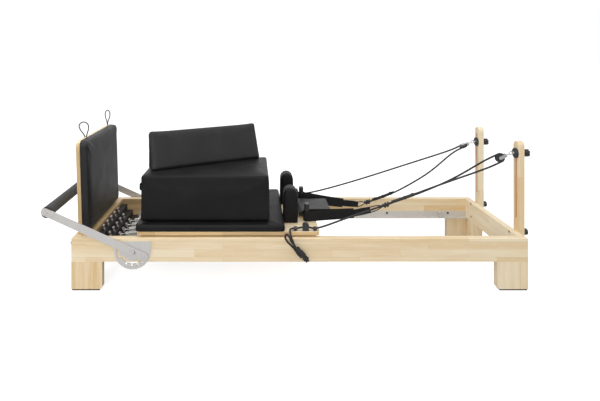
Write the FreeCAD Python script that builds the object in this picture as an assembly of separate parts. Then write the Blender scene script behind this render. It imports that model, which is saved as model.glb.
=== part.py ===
"""Pilates reformer, millimetres, +Z up. X runs from the foot end (-X) to the head end (+X), Y across.

Every function builds in frame coordinates: X = 0 and Y = 0 at the middle of the wooden frame, Z = 0 on the floor.
save_all() then moves the whole model along X, so that the origin is the middle of its footprint.
"""

import FreeCAD, Part
import math
import os

V = FreeCAD.Vector
UP = V(0, 0, 1)
ALONG = V(1, 0, 0)
ACROSS = V(0, 1, 0)
ORIGIN = V(0, 0, 0)

# ---- Frame ----
FRAME_LENGTH = 2400.0
FRAME_WIDTH = 680.0
RAIL_THICKNESS = 38.0
RAIL_HEIGHT = 122.0
RAIL_EDGE_RADIUS = 3.0
LEG_HEIGHT = 144.0
LEG_SIDE_WIDTH = 162.0
LEG_END_WIDTH = 150.0
LEG_CORNER_RADIUS = 14.0
FOOT_PAD_THICKNESS = 8.0
FOOT_PAD_INSET = 3.0
PLATFORM_WIDTH = 52.0
PLATFORM_THICKNESS = 18.0

# ---- Tracks ----
TRACK_HEIGHT = 40.0
TRACK_FLANGE = 28.0
TRACK_WALL = 3.0
TRACK_LIFT = 2.0
TRACK_START = -1000.0
TRACK_BOLT_PITCH = 402.0
TRACK_BOLT_COUNT = 5
TRACK_BOLT_INSET = 120.0
TRACK_BOLT_RADIUS = 6.5
TRACK_BOLT_HEAD = 3.0
TRACK_BOLT_DROP = 12.0
STOP_LENGTH = 24.0
STOP_HEIGHT = 34.0

# ---- Spring bars and studs ----
BAR_ROWS = ((-1094.0, 240.0), (-1059.0, 202.0), (-1021.0, 170.0))
BAR_DEPTH = 32.0
BAR_BASE = 140.0
STUD_PITCH = 70.0
STUD_COUNT = 5
STUD_TILT = 19.0
STUD_RISE = 25.0
STUD_HEAD_RADIUS = 9.5
STUD_HEAD_HEIGHT = 7.0
STUD_NECK_RADIUS = 4.0
STUD_BALL_RADIUS = 6.5
STUD_BALL_DROP = 17.5

# ---- Foot bar ----
PIVOT_X = -877.0
PIVOT_DROP = 64.0
FOOTBAR_ANGLE = 24.3
FOOTBAR_REACH = 493.0
ARM_WIDTH = 40.0
ARM_THICKNESS = 6.0
ARM_PAST_BAR = 9.0
ARM_PAST_PIVOT = 68.0
ARM_SLOT_TRAVEL = 12.0
PLATE_THICKNESS = 5.0
PLATE_RADIUS = 96.0
PLATE_RISE = 50.0
ARM_GAP = 2.0
TUBE_RADIUS = 16.0
TUBE_WALL = 2.5
TUBE_END = 20.0
FOAM_RADIUS = 29.0
CAP_RADIUS = 30.0
CAP_LENGTH = 12.0
PIVOT_RADIUS = 8.0
PIVOT_HEAD_RADIUS = 13.0
PIVOT_HEAD = 6.0
PIVOT_DEPTH = 30.0
WASHER_RADIUS = 15.0
LOCK_REACH = 62.0
LOCK_RADIUS = 4.0
LOCK_HEAD_RADIUS = 10.0
LOCK_HEAD = 7.0
BAR_BOLT_RADIUS = 5.0
BAR_BOLT_HEAD_RADIUS = 8.0
BAR_BOLT_HEAD = 4.0
SLOT_INNER = 52.0
SLOT_OUTER = 66.5
SLOT_START = 18.0
SLOT_END = 157.0
HOOK_INNER = 69.0
HOOK_OUTER = 84.0
HOOK_START = 151.0
HOOK_END = 186.0
NOTCH_ANGLES = (50.0, 70.0, 93.5, 117.0)
NOTCH_WIDTH = 8.5
NOTCH_REACH = 81.0

# ---- Jump board ----
JUMP_WIDTH = 580.0
JUMP_HEIGHT = 500.0
JUMP_PANEL = 18.0
JUMP_PAD = 39.0
JUMP_LEAN = 1.75
JUMP_SETBACK = 20.0
JUMP_CORNER_RADIUS = 36.0
JUMP_PAD_INSET = 5.0
JUMP_PIN_RADIUS = 5.0
JUMP_PIN_DEPTH = 40.0
JUMP_PIN_SEAT = 30.0
JUMP_PIN_OFFSET = 230.0
LOOP_RADIUS = 2.2
LOOP_SETBACK = 4.0
# Each loop: its place across the board, then the cord's points from its seat on the panel.
LOOP_POINTS = (
    (-170.0, ((0, 4, 0), (2, 3, 18), (10, 2, 46), (4, 1, 68), (-18, -1, 75), (-36, -2, 60),
              (-28, -3, 38), (-10, -4, 16), (-4, -5, 0))),
    (224.0, ((0, -5, 0), (1, -4, 24), (13, -2, 55), (15, 0, 80), (1, 4, 95), (-14, 6, 80),
             (-12, 6, 53), (-4, 5, 24), (-4, 5, 0))),
)

# ---- Carriage ----
CARRIAGE_START = -865.0
HEAD_SHELF = 185.0
BOARD_WIDTH = 640.0
BOARD_THICKNESS = 18.0
BOARD_CLEARANCE = 8.0
BOARD_CORNER_RADIUS = 24.0
BOARD_EDGE_RADIUS = 3.0
MAT_LENGTH = 790.0
MAT_THICKNESS = 40.0
MAT_EDGE_RADIUS = 9.0
BEARER_THICKNESS = 25.0
BEARER_INSET = 15.0
BEARER_DROP = 12.0
BEARER_GAP = 4.0
WHEEL_RADIUS = 25.0
WHEEL_WIDTH = 17.0
WHEEL_GAP = 6.0
WHEEL_INSET_FOOT = 85.0
WHEEL_INSET_HEAD = 80.0
AXLE_RADIUS = 6.0
CARRIAGE_TRAVEL = 920.0
ANCHOR_X = -430.0
ANCHOR_RADIUS = 7.0
ANCHOR_DROP = 32.0
ANCHOR_SEAT = 15.0
SPRING_RADIUS = 13.0
SPRING_WIRE = 1.2
SPRING_LEAD = 34.0
RING_RADIUS = 6.3
RING_WIRE = 2.0
ANCHOR_RING_RADIUS = 9.6

# ---- Shoulder rests, headrest, pegs, cleats ----
REST_CLEARANCE = 2.0
REST_LENGTH = 77.0
REST_THICKNESS = 92.0
REST_HEIGHT = 187.0
REST_INNER = 106.0
REST_EDGE_RADIUS = 9.0
REST_PIN_RADIUS = 6.0
REST_PIN_SPREAD = 22.0
REST_PIN_SEAT = 40.0
HEADREST_CLEARANCE = 12.0
HEADREST_LENGTH = 189.0
HEADREST_WIDTH = 234.0
HEADREST_PAD = 31.4
HEADREST_BOARD = 8.0
HEADREST_BOARD_INSET = 7.0
HEADREST_EDGE_RADIUS = 8.0
HEADREST_NOSE_RADIUS = 14.0
HINGE_SETBACK = 6.0
HINGE_RADIUS = 4.0
HINGE_PIN_RADIUS = 2.0
HINGE_HALF = 85.0
HINGE_LUG = 10.0
PEG_SETBACK = 54.0
PEG_Y = 155.0
PEG_RADIUS = 14.0
PEG_HEIGHT = 93.0
PEG_CAP = 6.0
CLEAT_SETBACK = 32.0
CLEAT_Y = 299.0
CLEAT_LENGTH = 33.0
CLEAT_WIDTH = 18.0
CLEAT_HEIGHT = 42.0
CLEAT_BORE_RISE = 18.1
CLEAT_BORE_RADIUS = 5.6
EYELET_OFFSETS = (-55.0, 50.0)
EYELET_RISE = 11.0
EYELET_BORE_RADIUS = 6.6
EYELET_LENGTH = 18.0
EYELET_EDGE_RADIUS = 2.0

# ---- Box and wedge ----
BOX_LENGTH = 688.0
BOX_WIDTH = 438.0
BOX_OFFSET = (-34.0, -59.0)
BOX_HEIGHT = 247.0
BOX_EDGE_RADIUS = 10.0
WEDGE_OFFSET = (44.0, 72.0)
WEDGE_YAW = 27.1
WEDGE_LENGTH = 675.0
WEDGE_HEIGHT = 205.0
WEDGE_LEAN = 66.0
WEDGE_BASE = 80.0
WEDGE_TOP = 25.0
WEDGE_EDGE_RADIUS = 9.0

# ---- Risers and pulleys ----
RISER_Y = 226.0
RISER_THICKNESS = 32.0
RISER_WIDTH = 56.0
RISER_TOP = 764.0
RISER_BOTTOM = 159.0
RISER_EDGE_RADIUS = 3.0
RISER_SLOT = (342.0, 724.0)
RISER_SLOT_HALF = 4.5
RISER_BOLT_DROPS = (8.0, 90.0)
RISER_BOLT_RADIUS = 5.0
RISER_NUT_RADIUS = 9.0
RISER_NUT = 5.0
RISER_PLUG = 1.5
RISER_KNOB_RADIUS = 17.5
RISER_KNOB_LENGTH = 27.0
CORNER_BOLT_RADIUS = 8.0
CORNER_BOLT_HEAD = 8.0
CORNER_BOLT_DROP = 29.0
PULLEY_HEIGHTS = {"front": 698.0, "back": 668.0}
PULLEY_SLOPE = 25.0
PULLEY_EYE_GAP = 30.0
PULLEY_LINK = 65.0
EYE_RADIUS = 9.0
EYE_WIRE = 3.0
BOLT_RADIUS = 4.0
DISC_RADIUS = 27.0
DISC_THICKNESS = 8.0
NUT_RADIUS = 8.0
SHEAVE_RADIUS = 25.0
SHEAVE_WIDTH = 14.0
GROOVE_RADIUS = 18.6
GROOVE_HALF = 4.6
SHEAVE_AXLE_RADIUS = 3.0
CHEEK_THICKNESS = 2.0
CHEEK_HALF = 9.0
CHEEK_LENGTH = 33.0
KNOB_RADIUS = 20.0
KNOB_LENGTH = 25.0
KNOB_HUB_RADIUS = 10.0
KNOB_HUB = 10.0
KNOB_LOBES = 6
KNOB_SCALLOP = 5.5

# ---- Ropes and straps ----
ROPE_RADIUS = 4.0
ROPE_PITCH_RADIUS = 23.0
ROPE_LEAD = 85.0
ARC_SHARE = 0.45
KNOT_RADIUS = 12.0
KNOT_LENGTH = 40.0
STRAP_WIDTH = 54.0
STRAP_THICKNESS = 4.0
STRAP_LOOP_RADIUS = 18.0
STRAP_TAIL_WIDTH = 38.0
STRAP_TAIL_THICKNESS = 7.0
TAIL_CORD_RADIUS = 2.5
HANK_RADIUS = 16.0
HANK_ENDS = ((-78, -358, 272), (4, -358, 180))

# Start of each rope, measured along the frame from its cleat: through the cleat and to the pulley.
FRONT_LEAD_IN = ((-72, -357, 262), (-80, -354, 283), (-86, -340, 302), (-86, -318, 312),
                 (-74, -302, 312.5), (-53, -299, 311), (-27, -299, 315.8), (0, -299, 319.2),
                 (27, -299, 315.8), (50, -299, 310), (104, -297, 323), (214, -292, 362),
                 (434, -280, 431), (724, -258, 530))
BACK_LEAD_IN = ((-98, 299, 309), (-77, 299, 310), (-54, 299, 311), (-27, 299, 315.8), (0, 299, 319.2),
                (27, 299, 315.8), (50, 299, 310), (104, 298, 322), (214, 294, 358),
                (434, 284, 430), (724, 268, 526))
# From the pulley back to the knot of the handle strap, measured along the frame from its peg.
FRONT_RETURN = ((811, -208, 553), (657, -193, 479), (552, -177, 430), (463, -165, 391))
BACK_RETURN = ((832, 186, 487), (707, 176, 415), (603, 168, 363), (512, 162, 327), (438, 158, 306))
FRONT_STRAP_ANGLE = -3.0
BACK_STRAP_ANGLE = 6.9
STRAP_SPAN = 272.0
STRAP_TAIL = 96.0
FRONT_STRAP_CENTRE = 329.0
BACK_STRAP_CENTRE = 334.0
FRONT_TAIL_ANGLE = -13.0
BACK_TAIL_ANGLE = 2.0

# ---- Clearances ----
FIT = 0.05
SOFT_GAP = 0.3

# ---- Derived places ----
RAIL_TOP = FOOT_PAD_THICKNESS + LEG_HEIGHT + RAIL_HEIGHT
RAIL_BASE = RAIL_TOP - RAIL_HEIGHT
HALF_LENGTH = FRAME_LENGTH / 2
HALF_WIDTH = FRAME_WIDTH / 2
INNER_Y = HALF_WIDTH - RAIL_THICKNESS
HEAD_INNER_X = HALF_LENGTH - RAIL_THICKNESS
FOOT_INNER_X = -HALF_LENGTH + RAIL_THICKNESS
BOARD_BASE = RAIL_TOP + BOARD_CLEARANCE
BOARD_TOP = BOARD_BASE + BOARD_THICKNESS
MAT_TOP = BOARD_TOP + MAT_THICKNESS
MAT_END = CARRIAGE_START + MAT_LENGTH
CARRIAGE_END = MAT_END + HEAD_SHELF
REST_START = MAT_END + REST_CLEARANCE
REST_END = REST_START + REST_LENGTH
HEADREST_START = REST_END + HEADREST_CLEARANCE
PEG_X = REST_END + PEG_SETBACK
CLEAT_X = REST_END + CLEAT_SETBACK
TRACK_BASE = RAIL_BASE + TRACK_LIFT
TRACK_TOP = TRACK_BASE + TRACK_WALL
AXLE_Z = TRACK_TOP + WHEEL_RADIUS + FIT
WHEEL_OUTER_Y = INNER_Y - TRACK_WALL - WHEEL_GAP
BEARER_OUTER_Y = WHEEL_OUTER_Y - WHEEL_WIDTH - BEARER_GAP
WHEEL_X = {"foot": CARRIAGE_START + WHEEL_INSET_FOOT, "head": CARRIAGE_END - WHEEL_INSET_HEAD}
PIVOT = V(PIVOT_X, 0, RAIL_TOP - PIVOT_DROP)
ARM_INNER = PLATE_THICKNESS + ARM_GAP
ARM_OUTER = ARM_INNER + ARM_THICKNESS
ANCHOR_Z = BOARD_BASE - ANCHOR_DROP
RISER_FACE_X = HALF_LENGTH
RISER_BACK_X = HALF_LENGTH + RISER_THICKNESS
PAD_TOP = BOARD_TOP + SOFT_GAP
BOX_CORNER = V((CARRIAGE_START + MAT_END - BOX_LENGTH) / 2 + BOX_OFFSET[0], BOX_OFFSET[1] - BOX_WIDTH / 2,
               MAT_TOP + SOFT_GAP)


# ---- Helpers ----
def block(x0, x1, y0, y1, z0, z1):
    return Part.makeBox(x1 - x0, y1 - y0, z1 - z0, V(x0, y0, z0))


def rod(radius, start, end):
    return Part.makeCylinder(radius, (end - start).Length, start, end - start)


def mirrored(shape):
    return shape.mirror(ORIGIN, ACROSS)


def turned(shape, centre, axis, degrees):
    return shape.rotated(centre, axis, degrees)


def rounded(shape, radius, axis, keep=lambda edge: True):
    """Round the straight edges that run along axis and pass the keep test."""
    edges = [edge for edge in shape.Edges
             if edge.Curve.TypeId == "Part::GeomLine"
             and abs(abs(edge.tangentAt(edge.FirstParameter).dot(axis)) - 1) < 1e-6
             and keep(edge.CenterOfMass)]
    return shape.makeFillet(radius, edges)


def softened(shape, radius, keep=lambda edge: True):
    """Round every edge of a pad whose middle passes the keep test."""
    return shape.makeFillet(radius, [edge for edge in shape.Edges if keep(edge.CenterOfMass)])


def slab(outline, normal_length):
    """Extrude a closed outline, given as corner points, along normal_length."""
    return Part.Face(Part.makePolygon(outline + outline[:1])).extrude(normal_length)


def one_solid(shapes):
    return shapes[0].multiFuse(shapes[1:]).removeSplitter()


def ring(centre, axis, radius, wire):
    return Part.makeTorus(radius, wire, centre, axis)


def outward(offset):
    """Y of a plane at this distance outside the front rail's face."""
    return -(HALF_WIDTH + offset)


def outward_rod(radius, centre, start, end):
    """A rod along Y on the front side, between two distances from the front rail's face."""
    return rod(radius, V(centre.x, outward(start), centre.z), V(centre.x, outward(end), centre.z))


# ---- Frame ----
def pivot_bore(shape):
    return shape.cut(outward_rod(PIVOT_RADIUS + FIT, PIVOT, -PIVOT_DEPTH, PLATE_THICKNESS + 1))


def side_rail():
    rail = block(-HALF_LENGTH, HALF_LENGTH, -HALF_WIDTH, -INNER_Y, RAIL_BASE, RAIL_TOP)
    rail = rounded(rail, RAIL_EDGE_RADIUS, ALONG, lambda c: c.z > RAIL_BASE + 1)
    return pivot_bore(rail)


def riser_bolt_places():
    for y in (-RISER_Y, RISER_Y):
        for drop in RISER_BOLT_DROPS:
            yield V(HEAD_INNER_X - RISER_PLUG, y, RAIL_TOP - drop)


def end_rail(x0, x1):
    rail = block(x0, x1, -INNER_Y, INNER_Y, RAIL_BASE, RAIL_TOP)
    return rounded(rail, RAIL_EDGE_RADIUS, ACROSS, lambda c: c.z > RAIL_BASE + 1)


def foot_end_rail():
    rail = end_rail(-HALF_LENGTH, FOOT_INNER_X)
    return rail.cut(Part.makeCompound([jump_pin(y, FIT, 1.0) for y in (-JUMP_PIN_OFFSET, JUMP_PIN_OFFSET)]))


def head_end_rail():
    rail = end_rail(HEAD_INNER_X, HALF_LENGTH)
    for place in riser_bolt_places():
        rail = rail.cut(rod(RISER_BOLT_RADIUS + FIT, place, place + ALONG * (RAIL_THICKNESS + 5)))
    return rail


def foot_platform():
    board = block(FOOT_INNER_X, FOOT_INNER_X + PLATFORM_WIDTH, -INNER_Y, INNER_Y,
                  RAIL_TOP - PLATFORM_THICKNESS, RAIL_TOP)
    return rounded(board, RAIL_EDGE_RADIUS, ACROSS, lambda c: c.z > RAIL_TOP - 1 and c.x > FOOT_INNER_X + 1)


def leg(end):
    """Corner leg of two boards, at the front; end is -1 at the foot end and 1 at the head end."""
    corner = end * HALF_LENGTH
    inner = end * (HALF_LENGTH - LEG_SIDE_WIDTH)
    side = block(min(corner, inner), max(corner, inner), -HALF_WIDTH, -INNER_Y, FOOT_PAD_THICKNESS, RAIL_BASE)
    side = rounded(side, LEG_CORNER_RADIUS, ACROSS,
                   lambda c: abs(c.x - inner) < 1 and c.z < FOOT_PAD_THICKNESS + 1)
    back = end * (HALF_LENGTH - RAIL_THICKNESS)
    cross = block(min(corner, back), max(corner, back), -INNER_Y, -INNER_Y + LEG_END_WIDTH,
                  FOOT_PAD_THICKNESS, RAIL_BASE)
    cross = rounded(cross, LEG_CORNER_RADIUS, ALONG,
                    lambda c: c.y > -INNER_Y + 1 and c.z < FOOT_PAD_THICKNESS + 1)
    return Part.makeCompound([side, cross])


def foot_pads():
    pads = []
    for end in (-1, 1):
        outer = end * (HALF_LENGTH - FOOT_PAD_INSET)
        inner = end * (HALF_LENGTH - LEG_SIDE_WIDTH + LEG_CORNER_RADIUS)
        back = end * (HALF_LENGTH - RAIL_THICKNESS + FOOT_PAD_INSET)
        side = block(min(outer, inner), max(outer, inner), -HALF_WIDTH + FOOT_PAD_INSET,
                     -INNER_Y - FOOT_PAD_INSET, 0, FOOT_PAD_THICKNESS)
        cross = block(min(outer, back), max(outer, back), -INNER_Y - FOOT_PAD_INSET,
                      -INNER_Y + LEG_END_WIDTH - LEG_CORNER_RADIUS, 0, FOOT_PAD_THICKNESS)
        pads += [side, cross, mirrored(side), mirrored(cross)]
    return Part.makeCompound(pads)


def track_bolt_places():
    for index in range(TRACK_BOLT_COUNT):
        yield V(HEAD_INNER_X - TRACK_BOLT_INSET - index * TRACK_BOLT_PITCH, -INNER_Y,
                TRACK_BASE + TRACK_HEIGHT - TRACK_BOLT_DROP)


def track():
    wall = block(TRACK_START, HEAD_INNER_X, -INNER_Y, -INNER_Y + TRACK_WALL,
                 TRACK_BASE, TRACK_BASE + TRACK_HEIGHT)
    flange = block(TRACK_START, HEAD_INNER_X, -INNER_Y, -INNER_Y + TRACK_FLANGE, TRACK_BASE, TRACK_TOP)
    return one_solid([wall, flange])


def carriage_stops():
    """Blocks on the tracks where the wheels end their run."""
    starts = (WHEEL_X["foot"] - WHEEL_RADIUS - SOFT_GAP - STOP_LENGTH,
              WHEEL_X["head"] + WHEEL_RADIUS + CARRIAGE_TRAVEL + SOFT_GAP)
    stops = [block(x, x + STOP_LENGTH, -INNER_Y + TRACK_WALL, -INNER_Y + TRACK_FLANGE,
                   TRACK_TOP, TRACK_TOP + STOP_HEIGHT) for x in starts]
    return Part.makeCompound(stops + [mirrored(stop) for stop in stops])


def frame_bolts():
    bolts = []
    for place in track_bolt_places():
        head = rod(TRACK_BOLT_RADIUS, place + ACROSS * TRACK_WALL,
                   place + ACROSS * (TRACK_WALL + TRACK_BOLT_HEAD))
        bolts += [head, mirrored(head)]
    for place in riser_bolt_places():
        plug = rod(RISER_NUT_RADIUS - 2, place, place + ALONG * RISER_PLUG)
        shaft_end = V(RISER_BACK_X + RISER_NUT, place.y, place.z)
        shaft = rod(RISER_BOLT_RADIUS, place, shaft_end)
        nut = rod(RISER_NUT_RADIUS, V(RISER_BACK_X, place.y, place.z), shaft_end)
        bolts.append(one_solid([plug, shaft, nut]))
    corner = V(-HALF_LENGTH, -HALF_WIDTH + RAIL_THICKNESS / 2, RAIL_TOP - CORNER_BOLT_DROP)
    head = rod(CORNER_BOLT_RADIUS, corner - ALONG * CORNER_BOLT_HEAD, corner)
    bolts += [head, mirrored(head)]
    return Part.makeCompound(bolts)


# ---- Spring bars, studs and springs ----
def bar_box(row):
    x, top = BAR_ROWS[row]
    ahead = BAR_ROWS[row + 1][0] if row + 1 < len(BAR_ROWS) else x + BAR_DEPTH + 6
    behind = FOOT_INNER_X + PLATFORM_WIDTH if row == 0 else (BAR_ROWS[row - 1][0] + x) / 2
    return block(behind, (x + ahead) / 2, -INNER_Y, INNER_Y, BAR_BASE, top)


def spring_bars():
    return Part.makeCompound([bar_box(row) for row in range(len(BAR_ROWS))])


def stud_axis():
    tilt = math.radians(STUD_TILT)
    return V(-math.sin(tilt), 0, math.cos(tilt))


def stud_head(row, y):
    x, top = BAR_ROWS[row]
    return V(x, y, top + STUD_RISE)


def stud_rows():
    return [(index - (STUD_COUNT - 1) / 2) * STUD_PITCH for index in range(STUD_COUNT)]


def stud(row, y):
    head, axis = stud_head(row, y), stud_axis()
    collar = rod(STUD_HEAD_RADIUS, head - axis * (STUD_HEAD_HEIGHT / 2), head + axis * STUD_HEAD_RADIUS)
    cap = Part.makeSphere(STUD_HEAD_RADIUS, head).common(collar)
    ball = Part.makeSphere(STUD_BALL_RADIUS, head - axis * STUD_BALL_DROP)
    post = rod(STUD_NECK_RADIUS, head - axis * (STUD_BALL_DROP + 16), head)
    return one_solid([post, ball, cap]).cut(bar_box(row))


def spring_studs():
    return Part.makeCompound([stud(row, y) for row in range(len(BAR_ROWS)) for y in stud_rows()])


def spring(y):
    """Extension spring as a sleeve, with a ring round a stud's neck and a ring round the anchor bar."""
    axis = stud_axis()
    head = stud_head(len(BAR_ROWS) - 1, y)
    eye = head - axis * ((STUD_HEAD_HEIGHT / 2 + STUD_BALL_DROP - STUD_BALL_RADIUS) / 2)
    anchor = V(ANCHOR_X, y, ANCHOR_Z)
    direction = (anchor - eye).normalize()
    start = eye + direction * SPRING_LEAD
    end = anchor - direction * SPRING_LEAD
    sleeve = rod(SPRING_RADIUS, start, end).cut(rod(SPRING_RADIUS - SPRING_WIRE, start, end))
    caps = [rod(SPRING_RADIUS, start, start + direction * RING_WIRE),
            rod(SPRING_RADIUS, end - direction * RING_WIRE, end)]
    vent = V(0, SPRING_RADIUS / 2, 0)
    caps = [cap.cut(rod(RING_WIRE, start + vent - direction, end + vent + direction)) for cap in caps]
    leads = [rod(RING_WIRE, eye + direction * RING_RADIUS, start + direction),
             rod(RING_WIRE, end - direction, anchor - direction * ANCHOR_RING_RADIUS)]
    rings = [ring(eye, axis, RING_RADIUS, RING_WIRE - 0.2),
             ring(anchor, ACROSS, ANCHOR_RING_RADIUS, RING_WIRE)]
    return one_solid([sleeve] + caps + leads + rings)


def carriage_springs():
    return Part.makeCompound([spring(y) for y in stud_rows()])


# ---- Foot bar ----
def polar(radius, degrees):
    """A point round the pivot; degrees run clockwise from +X, seen from the front."""
    angle = math.radians(degrees)
    return V(PIVOT.x + radius * math.cos(angle), 0, PIVOT.z - radius * math.sin(angle))


def sector(inner, outer, start, end):
    """A curved slot round the pivot, cut through the front plate."""
    middle = (start + end) / 2
    edges = [Part.Arc(polar(inner, start), polar(inner, middle), polar(inner, end)).toShape(),
             Part.makeLine(polar(inner, end), polar(outer, end)),
             Part.Arc(polar(outer, end), polar(outer, middle), polar(outer, start)).toShape(),
             Part.makeLine(polar(outer, start), polar(inner, start))]
    face = Part.Face(Part.Wire(edges))
    face.translate(V(0, outward(PLATE_THICKNESS + 1), 0))
    return face.extrude(ACROSS * (PLATE_THICKNESS + 2))


def quadrant_plate():
    disc = outward_rod(PLATE_RADIUS, PIVOT, 0, PLATE_THICKNESS)
    below = disc.common(block(PIVOT.x - PLATE_RADIUS, PIVOT.x + PLATE_RADIUS, outward(PLATE_THICKNESS),
                              outward(0), PIVOT.z - PLATE_RADIUS, PIVOT.z))
    above = block(PIVOT.x - PLATE_RADIUS, PIVOT.x + PLATE_RADIUS, outward(PLATE_THICKNESS), outward(0),
                  PIVOT.z, PIVOT.z + PLATE_RISE)
    plate = one_solid([below, above])
    cuts = [sector(SLOT_INNER, SLOT_OUTER, SLOT_START, SLOT_END),
            sector(HOOK_INNER, HOOK_OUTER, HOOK_START, HOOK_END),
            sector(SLOT_INNER + NOTCH_WIDTH, HOOK_INNER + NOTCH_WIDTH, HOOK_START, SLOT_END)]
    for angle in NOTCH_ANGLES:
        half = math.degrees(NOTCH_WIDTH / 2 / NOTCH_REACH)
        cuts.append(sector(SLOT_OUTER - 1, NOTCH_REACH, angle - half, angle + half))
    return pivot_bore(plate.cut(Part.makeCompound([cuts[0].multiFuse(cuts[1:])])))


def along_arm(distance):
    angle = math.radians(FOOTBAR_ANGLE)
    return V(PIVOT.x - distance * math.cos(angle), 0, PIVOT.z + distance * math.sin(angle))


def stadium(start, end, radius, inner, outer):
    """A bar with round ends, from one place on the arm's line to another."""
    middle = block(start, end, outward(outer), outward(inner), -radius, radius)
    middle = turned(middle, ORIGIN, ACROSS, FOOTBAR_ANGLE - 180)
    middle.translate(PIVOT)
    ends = [outward_rod(radius, along_arm(place), inner, outer) for place in (start, end)]
    return one_solid([middle] + ends)


def footbar_arm():
    arm = stadium(-ARM_PAST_PIVOT, FOOTBAR_REACH + ARM_PAST_BAR, ARM_WIDTH / 2, ARM_INNER, ARM_OUTER)
    arm = arm.cut(stadium(-ARM_SLOT_TRAVEL, 0, PIVOT_RADIUS + FIT, ARM_INNER - 1, ARM_OUTER + 1))
    arm = arm.cut(outward_rod(BAR_BOLT_RADIUS + FIT, along_arm(FOOTBAR_REACH), ARM_INNER - 1, ARM_OUTER + 1))
    return arm.cut(outward_rod(LOCK_RADIUS + FIT, along_arm(-LOCK_REACH), ARM_INNER - 1, ARM_OUTER + 1))


def footbar_tube():
    bar = along_arm(FOOTBAR_REACH)
    tube = rod(TUBE_RADIUS, V(bar.x, outward(ARM_INNER), bar.z), V(bar.x, -outward(ARM_INNER), bar.z))
    core = outward(ARM_INNER) + TUBE_END
    hollow = rod(TUBE_RADIUS - TUBE_WALL, V(bar.x, core, bar.z), V(bar.x, -core, bar.z))
    bores = outward_rod(BAR_BOLT_RADIUS + FIT, bar, ARM_INNER - TUBE_END - 1, ARM_INNER + 1)
    return tube.cut(hollow).cut(bores).cut(mirrored(bores))


def footbar_foam():
    bar = along_arm(FOOTBAR_REACH)
    end = outward(ARM_INNER) + CAP_LENGTH
    foam = rod(FOAM_RADIUS, V(bar.x, end, bar.z), V(bar.x, -end, bar.z))
    return foam.cut(rod(TUBE_RADIUS + FIT, V(bar.x, end - 1, bar.z), V(bar.x, 1 - end, bar.z)))


def footbar_caps():
    """End rings, bar bolts and lock pins."""
    bar, lock = along_arm(FOOTBAR_REACH), along_arm(-LOCK_REACH)
    cap = outward_rod(CAP_RADIUS, bar, ARM_INNER - CAP_LENGTH, ARM_INNER)
    cap = cap.cut(outward_rod(TUBE_RADIUS + FIT, bar, ARM_INNER - CAP_LENGTH - 1, ARM_INNER + 1))
    bolt = one_solid([outward_rod(BAR_BOLT_RADIUS, bar, ARM_INNER - TUBE_END, ARM_OUTER + 1),
                      outward_rod(BAR_BOLT_HEAD_RADIUS, bar, ARM_OUTER, ARM_OUTER + BAR_BOLT_HEAD)])
    pin = one_solid([outward_rod(LOCK_RADIUS, lock, SOFT_GAP, ARM_OUTER + 1),
                     outward_rod(LOCK_HEAD_RADIUS, lock, ARM_OUTER, ARM_OUTER + LOCK_HEAD)])
    front = [cap, bolt, pin]
    return Part.makeCompound(front + [mirrored(piece) for piece in front])


def footbar_pivots():
    head = outward_rod(PIVOT_HEAD_RADIUS, PIVOT, ARM_OUTER + SOFT_GAP, ARM_OUTER + PIVOT_HEAD)
    washer = outward_rod(WASHER_RADIUS, PIVOT, PLATE_THICKNESS, ARM_INNER - FIT)
    shaft = outward_rod(PIVOT_RADIUS, PIVOT, -PIVOT_DEPTH, ARM_OUTER + 1)
    bolt = one_solid([shaft, washer, head])
    return Part.makeCompound([bolt, mirrored(bolt)])


# ---- Jump board ----
def jump_face_x():
    """X of the seam between the panel and its pad, at the rail's top."""
    return -HALF_LENGTH + JUMP_SETBACK + JUMP_PANEL


def leaned(shape):
    return turned(shape, V(jump_face_x(), 0, RAIL_TOP), ACROSS, -JUMP_LEAN)


def jump_slab(x0, x1, inset, foot):
    half, top = JUMP_WIDTH / 2 - inset, RAIL_TOP + JUMP_HEIGHT - inset
    board = block(x0, x1, -half, half, RAIL_TOP - JUMP_PIN_RADIUS, top)
    board = rounded(board, JUMP_CORNER_RADIUS - inset, ALONG, lambda c: c.z > top - 1)
    return leaned(board).common(block(x0 - JUMP_PAD, x1 + JUMP_PAD, -half, half, RAIL_TOP + foot, top + 9))


def jump_pin(y, clearance, overrun):
    x = jump_face_x() - JUMP_PANEL / 2
    return rod(JUMP_PIN_RADIUS + clearance, V(x, y, RAIL_TOP - JUMP_PIN_DEPTH - overrun),
               V(x, y, RAIL_TOP + JUMP_PIN_SEAT + overrun))


def jumpboard_panel():
    panel = jump_slab(jump_face_x() - JUMP_PANEL, jump_face_x(), 0, 0)
    return panel.cut(Part.makeCompound([jump_pin(y, FIT, 0) for y in (-JUMP_PIN_OFFSET, JUMP_PIN_OFFSET)]))


def jumpboard_pad():
    return jump_slab(jump_face_x(), jump_face_x() + JUMP_PAD, JUMP_PAD_INSET, JUMP_PAD_INSET)


def jumpboard_pins():
    return Part.makeCompound([jump_pin(y, 0, 0) for y in (-JUMP_PIN_OFFSET, JUMP_PIN_OFFSET)])


def jumpboard_loops():
    """Two cord loops to hang the board up by, standing on the panel's top edge."""
    lean = math.radians(JUMP_LEAN)
    seat = V(jump_face_x() - JUMP_HEIGHT * math.sin(lean) - LOOP_SETBACK, 0,
             RAIL_TOP + JUMP_HEIGHT * math.cos(lean) + SOFT_GAP)
    loops = []
    for y, points in LOOP_POINTS:
        foot = seat + ACROSS * y
        loops.append(pipe(tangent_edges([foot + V(*point) for point in points]), LOOP_RADIUS))
    return Part.makeCompound(loops)


# ---- Carriage ----
def rest_pin_places():
    x = REST_START + REST_LENGTH / 2
    y = -(REST_INNER + REST_THICKNESS / 2)
    return [V(x, y - REST_PIN_SPREAD, BOARD_BASE), V(x, y + REST_PIN_SPREAD, BOARD_BASE)]


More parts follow.
